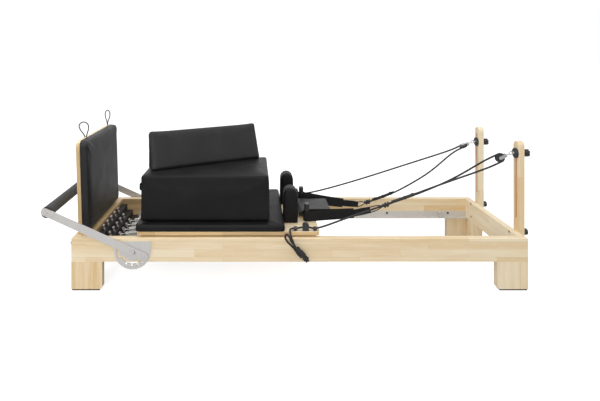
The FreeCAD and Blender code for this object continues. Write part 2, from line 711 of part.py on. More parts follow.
def carriage_board():
    board = block(CARRIAGE_START, CARRIAGE_END, -BOARD_WIDTH / 2, BOARD_WIDTH / 2, BOARD_BASE, BOARD_TOP)
    board = rounded(board, BOARD_CORNER_RADIUS, UP)
    for place in rest_pin_places():
        bore = rod(REST_PIN_RADIUS + FIT, place - UP, place + UP * (BOARD_THICKNESS + 1))
        board = board.cut(bore).cut(mirrored(bore))
    return board


def carriage_mat():
    mat = block(CARRIAGE_START, MAT_END, -BOARD_WIDTH / 2, BOARD_WIDTH / 2, BOARD_TOP, MAT_TOP)
    mat = rounded(mat, BOARD_CORNER_RADIUS, UP)
    return softened(mat, MAT_EDGE_RADIUS, lambda c: c.z > MAT_TOP - 1)


def axle_place(end):
    return V(WHEEL_X[end], 0, AXLE_Z)


def carriage_bearers():
    bearer = block(CARRIAGE_START + BEARER_INSET, CARRIAGE_END - BEARER_INSET, -BEARER_OUTER_Y,
                   -BEARER_OUTER_Y + BEARER_THICKNESS, AXLE_Z - BEARER_DROP, BOARD_BASE)
    for end in WHEEL_X:
        place = axle_place(end)
        bore = rod(AXLE_RADIUS + FIT, V(place.x, -BEARER_OUTER_Y - 1, place.z),
                   V(place.x, -BEARER_OUTER_Y + BEARER_THICKNESS, place.z))
        bearer = bearer.cut(bore)
    inner = -BEARER_OUTER_Y + BEARER_THICKNESS
    bearer = bearer.cut(rod(ANCHOR_RADIUS + FIT, V(ANCHOR_X, inner - ANCHOR_SEAT, ANCHOR_Z),
                            V(ANCHOR_X, inner + 1, ANCHOR_Z)))
    return Part.makeCompound([bearer, mirrored(bearer)])


def spring_anchor():
    reach = BEARER_OUTER_Y - BEARER_THICKNESS + ANCHOR_SEAT
    return rod(ANCHOR_RADIUS, V(ANCHOR_X, -reach, ANCHOR_Z), V(ANCHOR_X, reach, ANCHOR_Z))


def wheel(end):
    place = axle_place(end)
    outer = -WHEEL_OUTER_Y
    tyre = rod(WHEEL_RADIUS, V(place.x, outer, place.z), V(place.x, outer + WHEEL_WIDTH, place.z))
    tyre = softened(tyre, 2.0, lambda c: abs(c.y - outer - WHEEL_WIDTH / 2) > 1)
    stub = rod(AXLE_RADIUS, V(place.x, outer + 2, place.z),
               V(place.x, -BEARER_OUTER_Y + BEARER_THICKNESS - 1, place.z))
    return one_solid([tyre, stub])


def shoulder_rest():
    outer = -(REST_INNER + REST_THICKNESS)
    radius = REST_LENGTH / 2
    centre = V(REST_START + radius, outer, BOARD_TOP + REST_HEIGHT - radius)
    body = block(REST_START, REST_END, outer, -REST_INNER, PAD_TOP, centre.z)
    arch = rod(radius, centre, centre + ACROSS * REST_THICKNESS)
    pad = softened(one_solid([body, arch]), REST_EDGE_RADIUS,
                   lambda c: abs(c.y - outer - REST_THICKNESS / 2) > REST_THICKNESS / 2 - 1 and c.z > PAD_TOP + 1)
    pins = []
    for place in rest_pin_places():
        pad = pad.cut(rod(REST_PIN_RADIUS + FIT, place, place + UP * (BOARD_THICKNESS + REST_PIN_SEAT)))
        pins.append(rod(REST_PIN_RADIUS, place, place + UP * (BOARD_THICKNESS + REST_PIN_SEAT)))
    return Part.makeCompound([pad] + pins)


def hinge_axis():
    return V(HEADREST_START - HINGE_SETBACK, 0, PAD_TOP + HINGE_RADIUS)


def headrest_board():
    axis = hinge_axis()
    half = HEADREST_WIDTH / 2 - HEADREST_BOARD_INSET
    end = HEADREST_START + HEADREST_LENGTH - HEADREST_BOARD_INSET
    plate = block(HEADREST_START, end, -half, half, PAD_TOP, PAD_TOP + HEADREST_BOARD)
    tongue = block(axis.x, HEADREST_START, -HINGE_HALF, HINGE_HALF, PAD_TOP, PAD_TOP + HEADREST_BOARD)
    barrel = rod(HINGE_RADIUS, V(axis.x, -HINGE_HALF, axis.z), V(axis.x, HINGE_HALF, axis.z))
    bore = rod(HINGE_PIN_RADIUS + FIT, V(axis.x, -HINGE_HALF - 1, axis.z), V(axis.x, HINGE_HALF + 1, axis.z))
    return one_solid([plate, tongue, barrel]).cut(bore)


def headrest_pad():
    base = PAD_TOP + HEADREST_BOARD
    top = base + HEADREST_PAD
    pad = block(HEADREST_START, HEADREST_START + HEADREST_LENGTH, -HEADREST_WIDTH / 2, HEADREST_WIDTH / 2,
                base, top)
    pad = rounded(pad, HEADREST_NOSE_RADIUS, ACROSS, lambda c: c.z > top - 1 and c.x < HEADREST_START + 1)
    pad = rounded(pad, BOARD_CORNER_RADIUS, UP, lambda c: c.x > HEADREST_START + 1)
    return softened(pad, HEADREST_EDGE_RADIUS,
                    lambda c: c.z > top - 1 and c.x > HEADREST_START + HEADREST_NOSE_RADIUS + 1)


def headrest_hinge():
    axis = hinge_axis()
    reach = HINGE_HALF + SOFT_GAP + HINGE_LUG
    pin = rod(HINGE_PIN_RADIUS, V(axis.x, -reach, axis.z), V(axis.x, reach, axis.z))
    lug = block(axis.x - HINGE_RADIUS, axis.x + HINGE_RADIUS, -reach, -HINGE_HALF - SOFT_GAP,
                BOARD_TOP, axis.z + HINGE_RADIUS)
    return one_solid([pin, lug, mirrored(lug)])


def strap_pegs():
    foot = V(PEG_X, -PEG_Y, BOARD_TOP)
    post = rod(PEG_RADIUS, foot, foot + UP * PEG_HEIGHT)
    cap = rod(PEG_RADIUS, foot + UP * PEG_HEIGHT, foot + UP * (PEG_HEIGHT + PEG_CAP))
    cap = cap.makeFillet(3.0, [edge for edge in cap.Edges
                               if edge.CenterOfMass.z > foot.z + PEG_HEIGHT + PEG_CAP - 1])
    return Part.makeCompound([post, cap, mirrored(post), mirrored(cap)])


def rope_cleats():
    half = CLEAT_LENGTH / 2
    cleat = block(CLEAT_X - half, CLEAT_X + half, -CLEAT_Y - CLEAT_WIDTH / 2, -CLEAT_Y + CLEAT_WIDTH / 2,
                  BOARD_TOP, BOARD_TOP + CLEAT_HEIGHT)
    cleat = rounded(cleat, half - 3, ACROSS, lambda c: c.z > BOARD_TOP + CLEAT_HEIGHT - 1)
    bore_z = BOARD_TOP + CLEAT_BORE_RISE
    cleat = cleat.cut(rod(CLEAT_BORE_RADIUS, V(CLEAT_X - half - 1, -CLEAT_Y, bore_z),
                          V(CLEAT_X + half + 1, -CLEAT_Y, bore_z)))
    pieces = [cleat]
    for offset in EYELET_OFFSETS:
        start = V(CLEAT_X + offset - EYELET_LENGTH / 2, -CLEAT_Y, BOARD_TOP + EYELET_RISE)
        end = start + ALONG * EYELET_LENGTH
        eyelet = softened(rod(EYELET_RISE, start, end), EYELET_EDGE_RADIUS,
                          lambda c: min(abs(c.x - start.x), abs(c.x - end.x)) < 1)
        pieces.append(eyelet.cut(rod(EYELET_BORE_RADIUS, start - ALONG, end + ALONG)))
    return Part.makeCompound(pieces + [mirrored(piece) for piece in pieces])


# ---- Box and wedge ----
def long_box():
    far = BOX_CORNER + V(BOX_LENGTH, BOX_WIDTH, BOX_HEIGHT)
    pad = block(BOX_CORNER.x, far.x, BOX_CORNER.y, far.y, BOX_CORNER.z, far.z)
    return softened(pad, BOX_EDGE_RADIUS)


def wedge_cushion():
    """A block with a sloping front face, turned on top of the box."""
    outline = [V(0, 0, 0), V(0, WEDGE_BASE, 0), V(0, WEDGE_LEAN + WEDGE_TOP, WEDGE_HEIGHT),
               V(0, WEDGE_LEAN, WEDGE_HEIGHT)]
    wedge = softened(slab(outline, ALONG * WEDGE_LENGTH), WEDGE_EDGE_RADIUS)
    wedge = turned(wedge, ORIGIN, UP, WEDGE_YAW)
    wedge.translate(BOX_CORNER + V(*WEDGE_OFFSET, BOX_HEIGHT + SOFT_GAP))
    return wedge


# ---- Risers ----
def riser():
    half = RISER_WIDTH / 2
    arch_z = RISER_TOP - half
    post = block(RISER_FACE_X, RISER_BACK_X, -RISER_Y - half, -RISER_Y + half, RISER_BOTTOM, arch_z)
    arch = rod(half, V(RISER_FACE_X, -RISER_Y, arch_z), V(RISER_BACK_X, -RISER_Y, arch_z))
    post = one_solid([post, arch])
    post = softened(post, RISER_EDGE_RADIUS, lambda c: c.z > RISER_BOTTOM + 1)
    ends = [z + RISER_SLOT_HALF for z in RISER_SLOT[:1]] + [z - RISER_SLOT_HALF for z in RISER_SLOT[1:]]
    slot = [block(RISER_FACE_X - 1, RISER_BACK_X + 1, -RISER_Y - RISER_SLOT_HALF,
                  -RISER_Y + RISER_SLOT_HALF, ends[0], ends[1])]
    slot += [rod(RISER_SLOT_HALF, V(RISER_FACE_X - 1, -RISER_Y, z), V(RISER_BACK_X + 1, -RISER_Y, z))
             for z in ends]
    post = post.cut(one_solid(slot))
    for place in riser_bolt_places():
        post = post.cut(rod(RISER_BOLT_RADIUS + FIT, place, place + ALONG * (RISER_THICKNESS + FRAME_WIDTH)))
    return post


def riser_knobs():
    start = V(RISER_BACK_X, -RISER_Y, RAIL_TOP - RISER_BOLT_DROPS[0])
    knob = rod(RISER_KNOB_RADIUS, start, start + ALONG * RISER_KNOB_LENGTH)
    knob = knob.makeFillet(4.0, [edge for edge in knob.Edges
                                 if edge.CenterOfMass.x > start.x + RISER_KNOB_LENGTH - 1])
    knob = knob.cut(rod(RISER_NUT_RADIUS + FIT, start - ALONG, start + ALONG * (RISER_NUT + FIT)))
    return Part.makeCompound([knob, mirrored(knob)])


# ---- Pulleys ----
class Pulley:
    """Places of one pulley: u points from the sheave to its eye, v to where the returning rope leaves."""

    def __init__(self, name):
        slope = math.radians(PULLEY_SLOPE)
        sign = -1 if name == "front" else 1
        self.y = sign * RISER_Y
        self.eye = V(RISER_FACE_X - PULLEY_EYE_GAP, self.y, PULLEY_HEIGHTS[name])
        self.u = V(math.cos(slope), 0, math.sin(slope))
        self.v = V(-math.sin(slope), 0, math.cos(slope)) if name == "front" else V(0, -1, 0)
        self.axis = self.u.cross(self.v)
        self.centre = self.eye - self.u * PULLEY_LINK

    def at(self, u=0, v=0, w=0):
        return self.centre + self.u * u + self.v * v + self.axis * w

    def plate(self, u0, u1, half_v, w0, w1):
        corners = [self.at(u0, -half_v, w0), self.at(u1, -half_v, w0),
                   self.at(u1, half_v, w0), self.at(u0, half_v, w0)]
        return slab(corners, self.axis * (w1 - w0))


def pulley_bracket(name):
    p = Pulley(name)
    gap = SHEAVE_WIDTH / 2 + 0.5
    outer = gap + CHEEK_THICKNESS
    pieces = []
    for low, high in ((-outer, -gap), (gap, outer)):
        pieces.append(p.plate(0, CHEEK_LENGTH, CHEEK_HALF, low, high))
        pieces.append(rod(CHEEK_HALF, p.at(w=low), p.at(w=high)))
    pieces.append(p.plate(CHEEK_LENGTH - 1, CHEEK_LENGTH + 5, CHEEK_HALF - 1, -outer, outer))
    pieces.append(rod(SHEAVE_AXLE_RADIUS, p.at(w=-outer - 2), p.at(w=outer + 2)))
    pieces.append(rod(BOLT_RADIUS, p.at(u=CHEEK_LENGTH), p.at(u=PULLEY_LINK - EYE_RADIUS)))
    pieces.append(ring(p.eye, ACROSS, EYE_RADIUS, EYE_WIRE))
    bolt_end = V(RISER_BACK_X + KNOB_HUB + KNOB_LENGTH / 2, p.y, p.eye.z)
    pieces.append(rod(BOLT_RADIUS, p.eye + ALONG * EYE_RADIUS, bolt_end))
    nut_start = V(RISER_FACE_X - DISC_THICKNESS - 2 * SOFT_GAP - 7, p.y, p.eye.z)
    pieces.append(rod(NUT_RADIUS, nut_start, nut_start + ALONG * 7))
    disc_start = nut_start + ALONG * (7 + SOFT_GAP)
    disc = rod(DISC_RADIUS, disc_start, disc_start + ALONG * DISC_THICKNESS)
    disc = disc.cut(rod(BOLT_RADIUS + FIT, disc_start - ALONG, disc_start + ALONG * (DISC_THICKNESS + 1)))
    return Part.makeCompound([one_solid(pieces), disc])


def pulley_sheave(name):
    p = Pulley(name)
    half = SHEAVE_WIDTH / 2
    sheave = rod(SHEAVE_RADIUS, p.at(w=-half), p.at(w=half))
    groove = rod(SHEAVE_RADIUS + 1, p.at(w=-GROOVE_HALF), p.at(w=GROOVE_HALF))
    groove = groove.cut(rod(GROOVE_RADIUS, p.at(w=-half), p.at(w=half)))
    return sheave.cut(groove).cut(rod(SHEAVE_AXLE_RADIUS + FIT, p.at(w=-half - 1), p.at(w=half + 1)))


def pulley_knob(name):
    p = Pulley(name)
    start = V(RISER_BACK_X + SOFT_GAP, p.y, p.eye.z)
    hub = rod(KNOB_HUB_RADIUS, start, start + ALONG * KNOB_HUB)
    grip = rod(KNOB_RADIUS, start + ALONG * (KNOB_HUB - 1), start + ALONG * (KNOB_HUB + KNOB_LENGTH))
    for index in range(KNOB_LOBES):
        angle = 2 * math.pi * index / KNOB_LOBES
        side = V(0, math.cos(angle), math.sin(angle)) * KNOB_RADIUS
        grip = grip.cut(rod(KNOB_SCALLOP, start + side, start + side + ALONG * FRAME_WIDTH))
    bore = rod(BOLT_RADIUS + FIT, start - ALONG, start + ALONG * (KNOB_HUB + KNOB_LENGTH / 2))
    return one_solid([hub, grip]).cut(bore)


# ---- Ropes ----
def tangent_edges(points, note=None):
    """Edges of straight runs joined by tangent arcs, each as large as its two runs allow."""
    edges = []
    start = points[0]
    for before, corner, after in zip(points, points[1:], points[2:]):
        back, ahead = before - corner, after - corner
        reach = ARC_SHARE * min(back.Length, ahead.Length)
        back.normalize()
        ahead.normalize()
        half_turn = (math.pi - back.getAngle(ahead)) / 2
        radius = reach / math.tan(half_turn)
        if note is not None:
            note.append(radius)
        bisector = (back + ahead).normalize()
        middle = corner + bisector * (radius / math.cos(half_turn) - radius)
        edges.append(Part.makeLine(start, corner + back * reach))
        start = corner + ahead * reach
        edges.append(Part.Arc(corner + back * reach, middle, start).toShape())
    edges.append(Part.makeLine(start, points[-1]))
    return edges


def pipe(edges, radius):
    wire = Part.Wire(edges)
    start = wire.Edges[0].Vertexes[0].Point
    direction = wire.Edges[0].tangentAt(wire.Edges[0].FirstParameter)
    profile = Part.Wire(Part.makeCircle(radius, start, direction))
    return wire.makePipeShell([profile], True, False)


def along(points, start):
    """Points whose first number is measured along the frame from start."""
    return [V(start + x, y, z) for x, y, z in points]


def rope_edges(name, lead_in, way_back, note=None):
    """Up to the pulley, half a turn round its sheave, and back to the knot."""
    p = Pulley(name)
    first, last = p.at(v=-ROPE_PITCH_RADIUS), p.at(v=ROPE_PITCH_RADIUS)
    edges = tangent_edges(lead_in + [first - p.u * ROPE_LEAD, first], note=note)
    edges.append(Part.Arc(first, p.at(u=ROPE_PITCH_RADIUS), last).toShape())
    return edges + tangent_edges([last, last - p.u * ROPE_LEAD] + way_back, note=note)


def rope(name, lead_in, way_back):
    radii = []
    edges = rope_edges(name, lead_in, way_back, radii)
    tube = pipe(edges, ROPE_RADIUS)
    length = sum(edge.Length for edge in edges)
    print("rope_" + name, "length", round(length), "volume ratio",
          round(tube.Volume / (math.pi * ROPE_RADIUS ** 2 * length), 4),
          "radii", [round(radius) for radius in radii])
    direction = (way_back[-1] - way_back[-2]).normalize()
    knot = rod(KNOT_RADIUS, way_back[-1], way_back[-1] + direction * KNOT_LENGTH)
    return Part.makeCompound([tube, knot])


def rope_tail():
    start, end = along(HANK_ENDS, CLEAT_X)
    return one_solid([rod(HANK_RADIUS, start, end), Part.makeSphere(HANK_RADIUS, start),
                      Part.makeSphere(HANK_RADIUS, end)])


def strap(sign, centre_z, slope, tail_slope, way_back):
    """Webbing loop round a peg, its stitched tail, and two thin cords up to the knot."""
    peg = V(PEG_X, sign * PEG_Y, centre_z)
    low = peg - UP * (STRAP_WIDTH / 2)
    tip = low + ALONG * STRAP_SPAN

    def outline(radius, reach):
        lean = math.asin((radius - STRAP_TAIL_THICKNESS / 2) / reach)
        side = V(math.sin(lean), math.cos(lean), 0) * radius
        far = V(reach, STRAP_TAIL_THICKNESS / 2, 0)
        near_far = V(far.x, -far.y, 0)
        edges = [Part.Arc(low + side, low - ALONG * radius, low + V(side.x, -side.y, 0)).toShape(),
                 Part.makeLine(low + V(side.x, -side.y, 0), low + near_far),
                 Part.makeLine(low + near_far, low + far),
                 Part.makeLine(low + far, low + side)]
        return Part.Face(Part.Wire(edges)).extrude(UP * STRAP_WIDTH)

    band = outline(STRAP_LOOP_RADIUS + STRAP_THICKNESS, STRAP_SPAN)
    band = band.cut(outline(STRAP_LOOP_RADIUS, STRAP_SPAN - 8 * STRAP_THICKNESS))
    band = turned(band, peg, ACROSS, slope)
    tail_start = turned(Part.Vertex(peg + ALONG * (STRAP_SPAN - 4)), peg, ACROSS, slope).Point
    tail = block(0, STRAP_TAIL, -STRAP_TAIL_THICKNESS / 2, STRAP_TAIL_THICKNESS / 2,
                 -STRAP_TAIL_WIDTH / 2, STRAP_TAIL_WIDTH / 2)
    tail = turned(tail, ORIGIN, ACROSS, tail_slope)
    tail.translate(tail_start)
    knot_start = way_back[-1] + (way_back[-1] - way_back[-2]).normalize() * (KNOT_LENGTH + SOFT_GAP)
    tail_end = tail_start + turned(Part.Vertex(V(STRAP_TAIL - 4, 0, 0)), ORIGIN, ACROSS, tail_slope).Point
    spread = UP * (STRAP_TAIL_WIDTH / 2 - TAIL_CORD_RADIUS)
    cords = [rod(TAIL_CORD_RADIUS, tail_end + spread, knot_start + UP * 4),
             rod(TAIL_CORD_RADIUS, tail_end - spread, knot_start - UP * 4)]
    return Part.makeCompound([one_solid([band, tail] + cords)])


# ---- All pieces ----
def build():
    legs = {"foot": leg(-1), "head": leg(1)}
    front_return, back_return = along(FRONT_RETURN, PEG_X), along(BACK_RETURN, PEG_X)
    pieces = {
        "side_rail_front": side_rail(), "foot_end_rail": foot_end_rail(), "head_end_rail": head_end_rail(),
        "foot_platform": foot_platform(), "leg_foot_front": legs["foot"], "leg_head_front": legs["head"],
        "foot_pads": foot_pads(), "track_front": track(), "carriage_stops": carriage_stops(),
        "frame_bolts": frame_bolts(), "spring_bars": spring_bars(), "spring_studs": spring_studs(),
        "quadrant_plate_front": quadrant_plate(), "footbar_pivots": footbar_pivots(),
        "riser_front": riser(), "riser_knobs": riser_knobs(),
        "footbar_arm_front": footbar_arm(), "footbar_tube": footbar_tube(), "footbar_foam": footbar_foam(),
        "footbar_caps": footbar_caps(),
        "jumpboard_panel": jumpboard_panel(), "jumpboard_pad": jumpboard_pad(),
        "jumpboard_pins": jumpboard_pins(), "jumpboard_loops": jumpboard_loops(),
        "carriage_board": carriage_board(), "carriage_mat": carriage_mat(),
        "carriage_bearers": carriage_bearers(), "spring_anchor": spring_anchor(),
        "carriage_springs": carriage_springs(), "strap_pegs": strap_pegs(), "rope_cleats": rope_cleats(),
        "wheel_foot_front": wheel("foot"), "wheel_head_front": wheel("head"),
        "shoulder_rest_front": shoulder_rest(),
        "headrest_pad": headrest_pad(), "headrest_board": headrest_board(), "headrest_hinge": headrest_hinge(),
        "long_box": long_box(), "wedge_cushion": wedge_cushion(),
        "rope_front": rope("front", along(FRONT_LEAD_IN, CLEAT_X), front_return),
        "rope_back": rope("back", along(BACK_LEAD_IN, CLEAT_X), back_return),
        "rope_tail": rope_tail(),
        "strap_front": strap(-1, FRONT_STRAP_CENTRE, FRONT_STRAP_ANGLE, FRONT_TAIL_ANGLE, front_return),
        "strap_back": strap(1, BACK_STRAP_CENTRE, BACK_STRAP_ANGLE, BACK_TAIL_ANGLE, back_return),
    }
    for name in PULLEY_HEIGHTS:
        pieces["pulley_bracket_" + name] = pulley_bracket(name)
        pieces["pulley_sheave_" + name] = pulley_sheave(name)
        pieces["pulley_knob_" + name] = pulley_knob(name)
    for name in ("side_rail", "leg_foot", "leg_head", "track", "quadrant_plate", "riser", "footbar_arm",
                 "wheel_foot", "wheel_head", "shoulder_rest"):
        pieces[name + "_back"] = mirrored(pieces[name + "_front"])
    return pieces


def save_all():
    pieces = build()
    cords = ("rope_front", "rope_back", "rope_tail", "strap_front", "strap_back", "jumpboard_loops")
    boxes = [shape.BoundBox for name, shape in pieces.items() if name not in cords]
    middle = (min(box.XMin for box in boxes) + max(box.XMax for box in boxes)) / 2
    print("nodes", len(pieces), "frame middle in the model", round(-middle, 3))
    os.makedirs("parts", exist_ok=True)
    for name, shape in pieces.items():
        shape.translate(V(-middle, 0, 0))
        if not shape.isValid():
            print("not valid:", name)
        shape.exportStep("parts/" + name + ".step")


save_all()
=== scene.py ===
"""Pilates reformer: upholstery, ropes, handle straps, springs and finishes round its fixed frame."""

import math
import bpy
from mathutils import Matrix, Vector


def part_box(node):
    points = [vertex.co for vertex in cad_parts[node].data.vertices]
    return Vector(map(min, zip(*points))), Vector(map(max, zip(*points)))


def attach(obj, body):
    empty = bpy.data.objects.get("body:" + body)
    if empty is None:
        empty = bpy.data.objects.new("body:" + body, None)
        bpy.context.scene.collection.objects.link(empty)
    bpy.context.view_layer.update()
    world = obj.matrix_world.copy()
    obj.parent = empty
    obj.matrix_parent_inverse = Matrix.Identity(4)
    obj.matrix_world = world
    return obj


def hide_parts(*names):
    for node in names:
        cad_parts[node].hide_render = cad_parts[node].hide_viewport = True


bl_info = {
    "name": "Pilates reformer",
    "version": (1, 0, 0),
    "blender": (4, 5, 0),
    "location": "3D View > Sidebar > Reformer",
    "description": "Dresses the reformer's frame with its cushions, ropes, straps, springs and finishes",
    "category": "Object",
}

import bmesh
import bpy
from bpy.props import FloatProperty, FloatVectorProperty, IntProperty, PointerProperty
from mathutils import Matrix, Vector

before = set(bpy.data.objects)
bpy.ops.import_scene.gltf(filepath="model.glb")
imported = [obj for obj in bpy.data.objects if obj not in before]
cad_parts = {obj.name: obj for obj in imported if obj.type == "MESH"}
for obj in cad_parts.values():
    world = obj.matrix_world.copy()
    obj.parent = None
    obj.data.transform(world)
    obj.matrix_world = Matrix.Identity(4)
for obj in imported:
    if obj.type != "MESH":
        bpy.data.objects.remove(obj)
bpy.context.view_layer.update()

MM = 0.001
EIGHTH_TURN = math.radians(45)
# The middle of the wooden frame's length, on the floor, in millimetres of the part's own frame.
FRAME_MIDDLE = Vector((44.511, 0.0, 0.0))
X_AXIS, Y_AXIS, Z_AXIS = Vector((1, 0, 0)), Vector((0, 1, 0)), Vector((0, 0, 1))
RAIL_TOP = 274.0
JUMP_FOOT_X, JUMP_HEIGHT, JUMP_LEAN = -1162.0, 500, math.radians(1.75)
WEDGE_CORNER, WEDGE_TURN, WEDGE_LENGTH = (-804, -206, 0), math.radians(27.1), 0.671
# The slot of a riser: its distance from the middle, its half width, and where it starts and ends.
SLOT_Y, SLOT_HALF, SLOT_LOW, SLOT_HIGH = 0.226, 0.0049, 0.342, 0.724
SHEAVE_PITCH_RADIUS, SHEAVE_LEAD, ROPE_SLOPE = 23.0, 85.0, math.radians(25)
STRAP_REACH, STRAP_HALF_WIDTH, KNOT_LENGTH = 0.268, 0.027, 0.038
ROPE_BRAID, LOOP_BRAID = 0.0105, 0.006
CLOTH_STEPS = 20
# How bright the floor and the world look to the eye or in reflections, and how far the world lights the object.
FLOOR_GLOW, FLOOR_SHINE, WORLD_SHINE, WORLD_LIGHT = 0.80, 0.1, 0.9, 0.42

# Routes of the ropes, in millimetres from the middle of the wooden frame.
FRONT_CLEAT = [(36, -299, 319.2), (63, -299, 315.8), (86, -299, 310)]
FRONT_STRETCH = [(140, -297, 323), (250, -292, 362), (470, -280, 431), (760, -258, 530)]
FRONT_RETURN = [(869, -208, 553), (715, -193, 479), (610, -177, 434), (521, -165, 398)]
FRONT_TAIL = [(36, -299, 319.2), (9, -299, 315.8), (-17, -299, 311), (-38, -302, 312.5),
              (-50, -318, 312), (-50, -340, 302), (-44, -354, 283), (-36, -357, 262)]
BACK_ENTRY = [(-62, 299, 309), (-41, 299, 310), (-18, 299, 311), (9, 299, 315.8)]
BACK_CLEAT = [(36, 299, 319.2), (63, 299, 315.8), (86, 299, 310)]
BACK_STRETCH = [(140, 298, 318), (250, 294, 345), (470, 284, 412), (760, 268, 511)]
BACK_RETURN = [(890, 186, 487), (765, 176, 415), (661, 168, 363), (570, 162, 327), (496, 158, 306)]
# The spare rope, folded to and fro below the board's edge.
HANK_TURNS = [(-26, -357, 240), (-15, -355, 218), (2, -354, 197), (15, -354, 184), (27, -358, 177),
              (26, -369, 178), (11, -371, 192), (-6, -370, 216), (-28, -367, 244),
              (-47, -364, 268), (-56, -361, 291), (-66, -356, 304), (-77, -351, 297), (-77, -350, 279),
              (-64, -350, 259), (-44, -351, 240), (-22, -350, 218), (-4, -350, 198), (12, -352, 184),
              (24, -358, 176), (38, -362, 168), (46, -362, 166)]
# The jump board's loops stand this far behind its face and above its top.
LOOP_SETBACK, LOOP_LIFT = 4.0, 0.3
FRONT_LOOP = [(0, 4, 0), (3, 3, 18), (14, 2, 46), (10, 1, 76), (-17, -1, 88), (-42, -2, 70),
              (-34, -3, 42), (-12, -4, 18), (-4, -5, 0)]
BACK_LOOP = [(0, -5, 0), (-1, -4, 24), (13, -2, 52), (14, 0, 84), (-3, 4, 100), (-20, 6, 84),
             (-18, 6, 50), (-7, 5, 24), (-4, 5, 0)]


def at(x, y, z):
    """A place on the wooden frame, in millimetres, as a point of the model."""
    return (Vector((x, y, z)) + FRAME_MIDDLE) * MM


# ---------------------------------------------------------------- settings


def colour_setting(name, description, default):
    return FloatVectorProperty(name=name, description=description, subtype="COLOR", size=4, min=0, max=1,
                               default=default)


def length_setting(name, description, default, least=0.0):
    return FloatProperty(name=name, description=description, unit="LENGTH", default=default, min=least)


class TimberSettings(bpy.types.PropertyGroup):
    pale: colour_setting("Pale wood", "Colour of the palest staves", (0.87, 0.745, 0.535, 1))
    warm: colour_setting("Warm wood", "Colour of the darkest staves", (0.72, 0.50, 0.245, 1))
    stave_length: length_setting("Stave length", "Length of one glued stave", 0.36, 0.05)
    stave_width: length_setting("Stave width", "Width of one glued stave", 0.041, 0.01)


class UpholsterySettings(bpy.types.PropertyGroup):
    cover: colour_setting("Cover", "Colour of the coated fabric", (0.0052, 0.0052, 0.0054, 1))
    roughness: FloatProperty(name="Roughness", description="Roughness of the coated fabric",
                             subtype="FACTOR", default=0.42, min=0, max=1)
    pressure: FloatProperty(name="Fill pressure", description="How firmly the foam fills its cover",
                            default=4.0, min=0)
    swell: length_setting("Swell", "Furthest that the filling moves the cover", 0.005)


class CordSettings(bpy.types.PropertyGroup):
    rope_diameter: length_setting("Rope", "Diameter of the carriage ropes", 0.010, 0.002)
    loop_diameter: length_setting("Hanging loops", "Diameter of the jump board's loops", 0.006, 0.001)
    lashing_diameter: length_setting("Lashing", "Diameter of the cord at the handle straps", 0.006, 0.001)
    black: colour_setting("Cord black", "Colour of ropes and webbing", (0.0055, 0.0055, 0.006, 1))


class SpringSettings(bpy.types.PropertyGroup):
    coil_radius: length_setting("Coil radius", "Outer radius of a spring", 0.013, 0.002)
    wire_radius: length_setting("Wire radius", "Radius of the spring wire", 0.00125, 0.0002)
    turn_steps: IntProperty(name="Steps in a turn", description="Faces along one turn of the wire",
                            default=12, min=6)


class StudioSettings(bpy.types.PropertyGroup):
    floor: colour_setting("Floor", "Colour of the floor", (0.62, 0.62, 0.62, 1))
    overhead_power: FloatProperty(name="Overhead", description="Power of the overhead softbox",
                                  unit="POWER", default=64.0, min=0)
    front_power: FloatProperty(name="Front", description="Power of the front softbox", unit="POWER",
                               default=50.0, min=0)


def settings(group):
    return getattr(bpy.context.scene, "reformer_" + group)


# ---------------------------------------------------------------- materials


class Recipe:
    """Builds one procedural material, node by node."""

    def __init__(self, name, material=None):
        """Begin a new material, or go on with one that another function has begun."""
        if material is None:
            material = bpy.data.materials.new(name)
            material.use_nodes = True
        self.material = material
        self.tree = material.node_tree
        self.shader = self.tree.nodes["Principled BSDF"]
        self.place = self.add("ShaderNodeTexCoord").outputs["Object"]

    def add(self, kind, inputs=None, **properties):
        node = self.tree.nodes.new(kind)
        for key, value in properties.items():
            setattr(node, key, value)
        for key, value in (inputs or {}).items():
            self.feed(node.inputs[key], value)
        return node

    def feed(self, socket, value):
        if isinstance(value, bpy.types.NodeSocket):
            self.tree.links.new(value, socket)
        else:
            socket.default_value = value

    def math(self, operation, a, b=0.0):
        return self.add("ShaderNodeMath", {0: a, 1: b}, operation=operation).outputs[0]

    def times(self, a, b):
        return self.math("MULTIPLY", a, b)

    def total(self, first, *others):
        for other in others:
            first = self.math("ADD", first, other)
        return first

    def split(self, vector=None):
        return self.add("ShaderNodeSeparateXYZ", {0: vector or self.place}).outputs

    def join(self, x, y, z):
        return self.add("ShaderNodeCombineXYZ", {0: x, 1: y, 2: z}).outputs[0]

    def scaled(self, vector, scale, rotation=(0, 0, 0)):
        return self.add("ShaderNodeMapping", {"Vector": vector, "Scale": scale,
                                              "Rotation": rotation}).outputs[0]

    def noise(self, vector, scale, detail=3.0, roughness=0.5):
        return self.add("ShaderNodeTexNoise", {"Vector": vector, "Scale": scale, "Detail": detail,
                                               "Roughness": roughness}).outputs["Fac"]

    def ramp(self, value, low, high, start=0.0, end=1.0):
        return self.add("ShaderNodeMapRange", {"Value": value, "From Min": start, "From Max": end,
                                               "To Min": low, "To Max": high}).outputs[0]

    def blend(self, share, a, b):
        node = self.add("ShaderNodeMix", {"Factor": share}, data_type="RGBA")
        self.feed(node.inputs[6], a)
        self.feed(node.inputs[7], b)
        return node.outputs[2]

    def bump(self, height, strength, distance):
        node = self.add("ShaderNodeBump", {"Height": height, "Strength": strength, "Distance": distance})
        self.feed(self.shader.inputs["Normal"], node.outputs[0])

    def surface(self, **values):
        for key, value in values.items():
            self.feed(self.shader.inputs[key.replace("_", " ").title().replace("Ior", "IOR")], value)

    def done(self):
        return self.material


def toned(colour, factor, lift=0.0):
    """A colour made darker or paler."""
    return tuple(factor * channel + lift for channel in colour[:3]) + (1,)


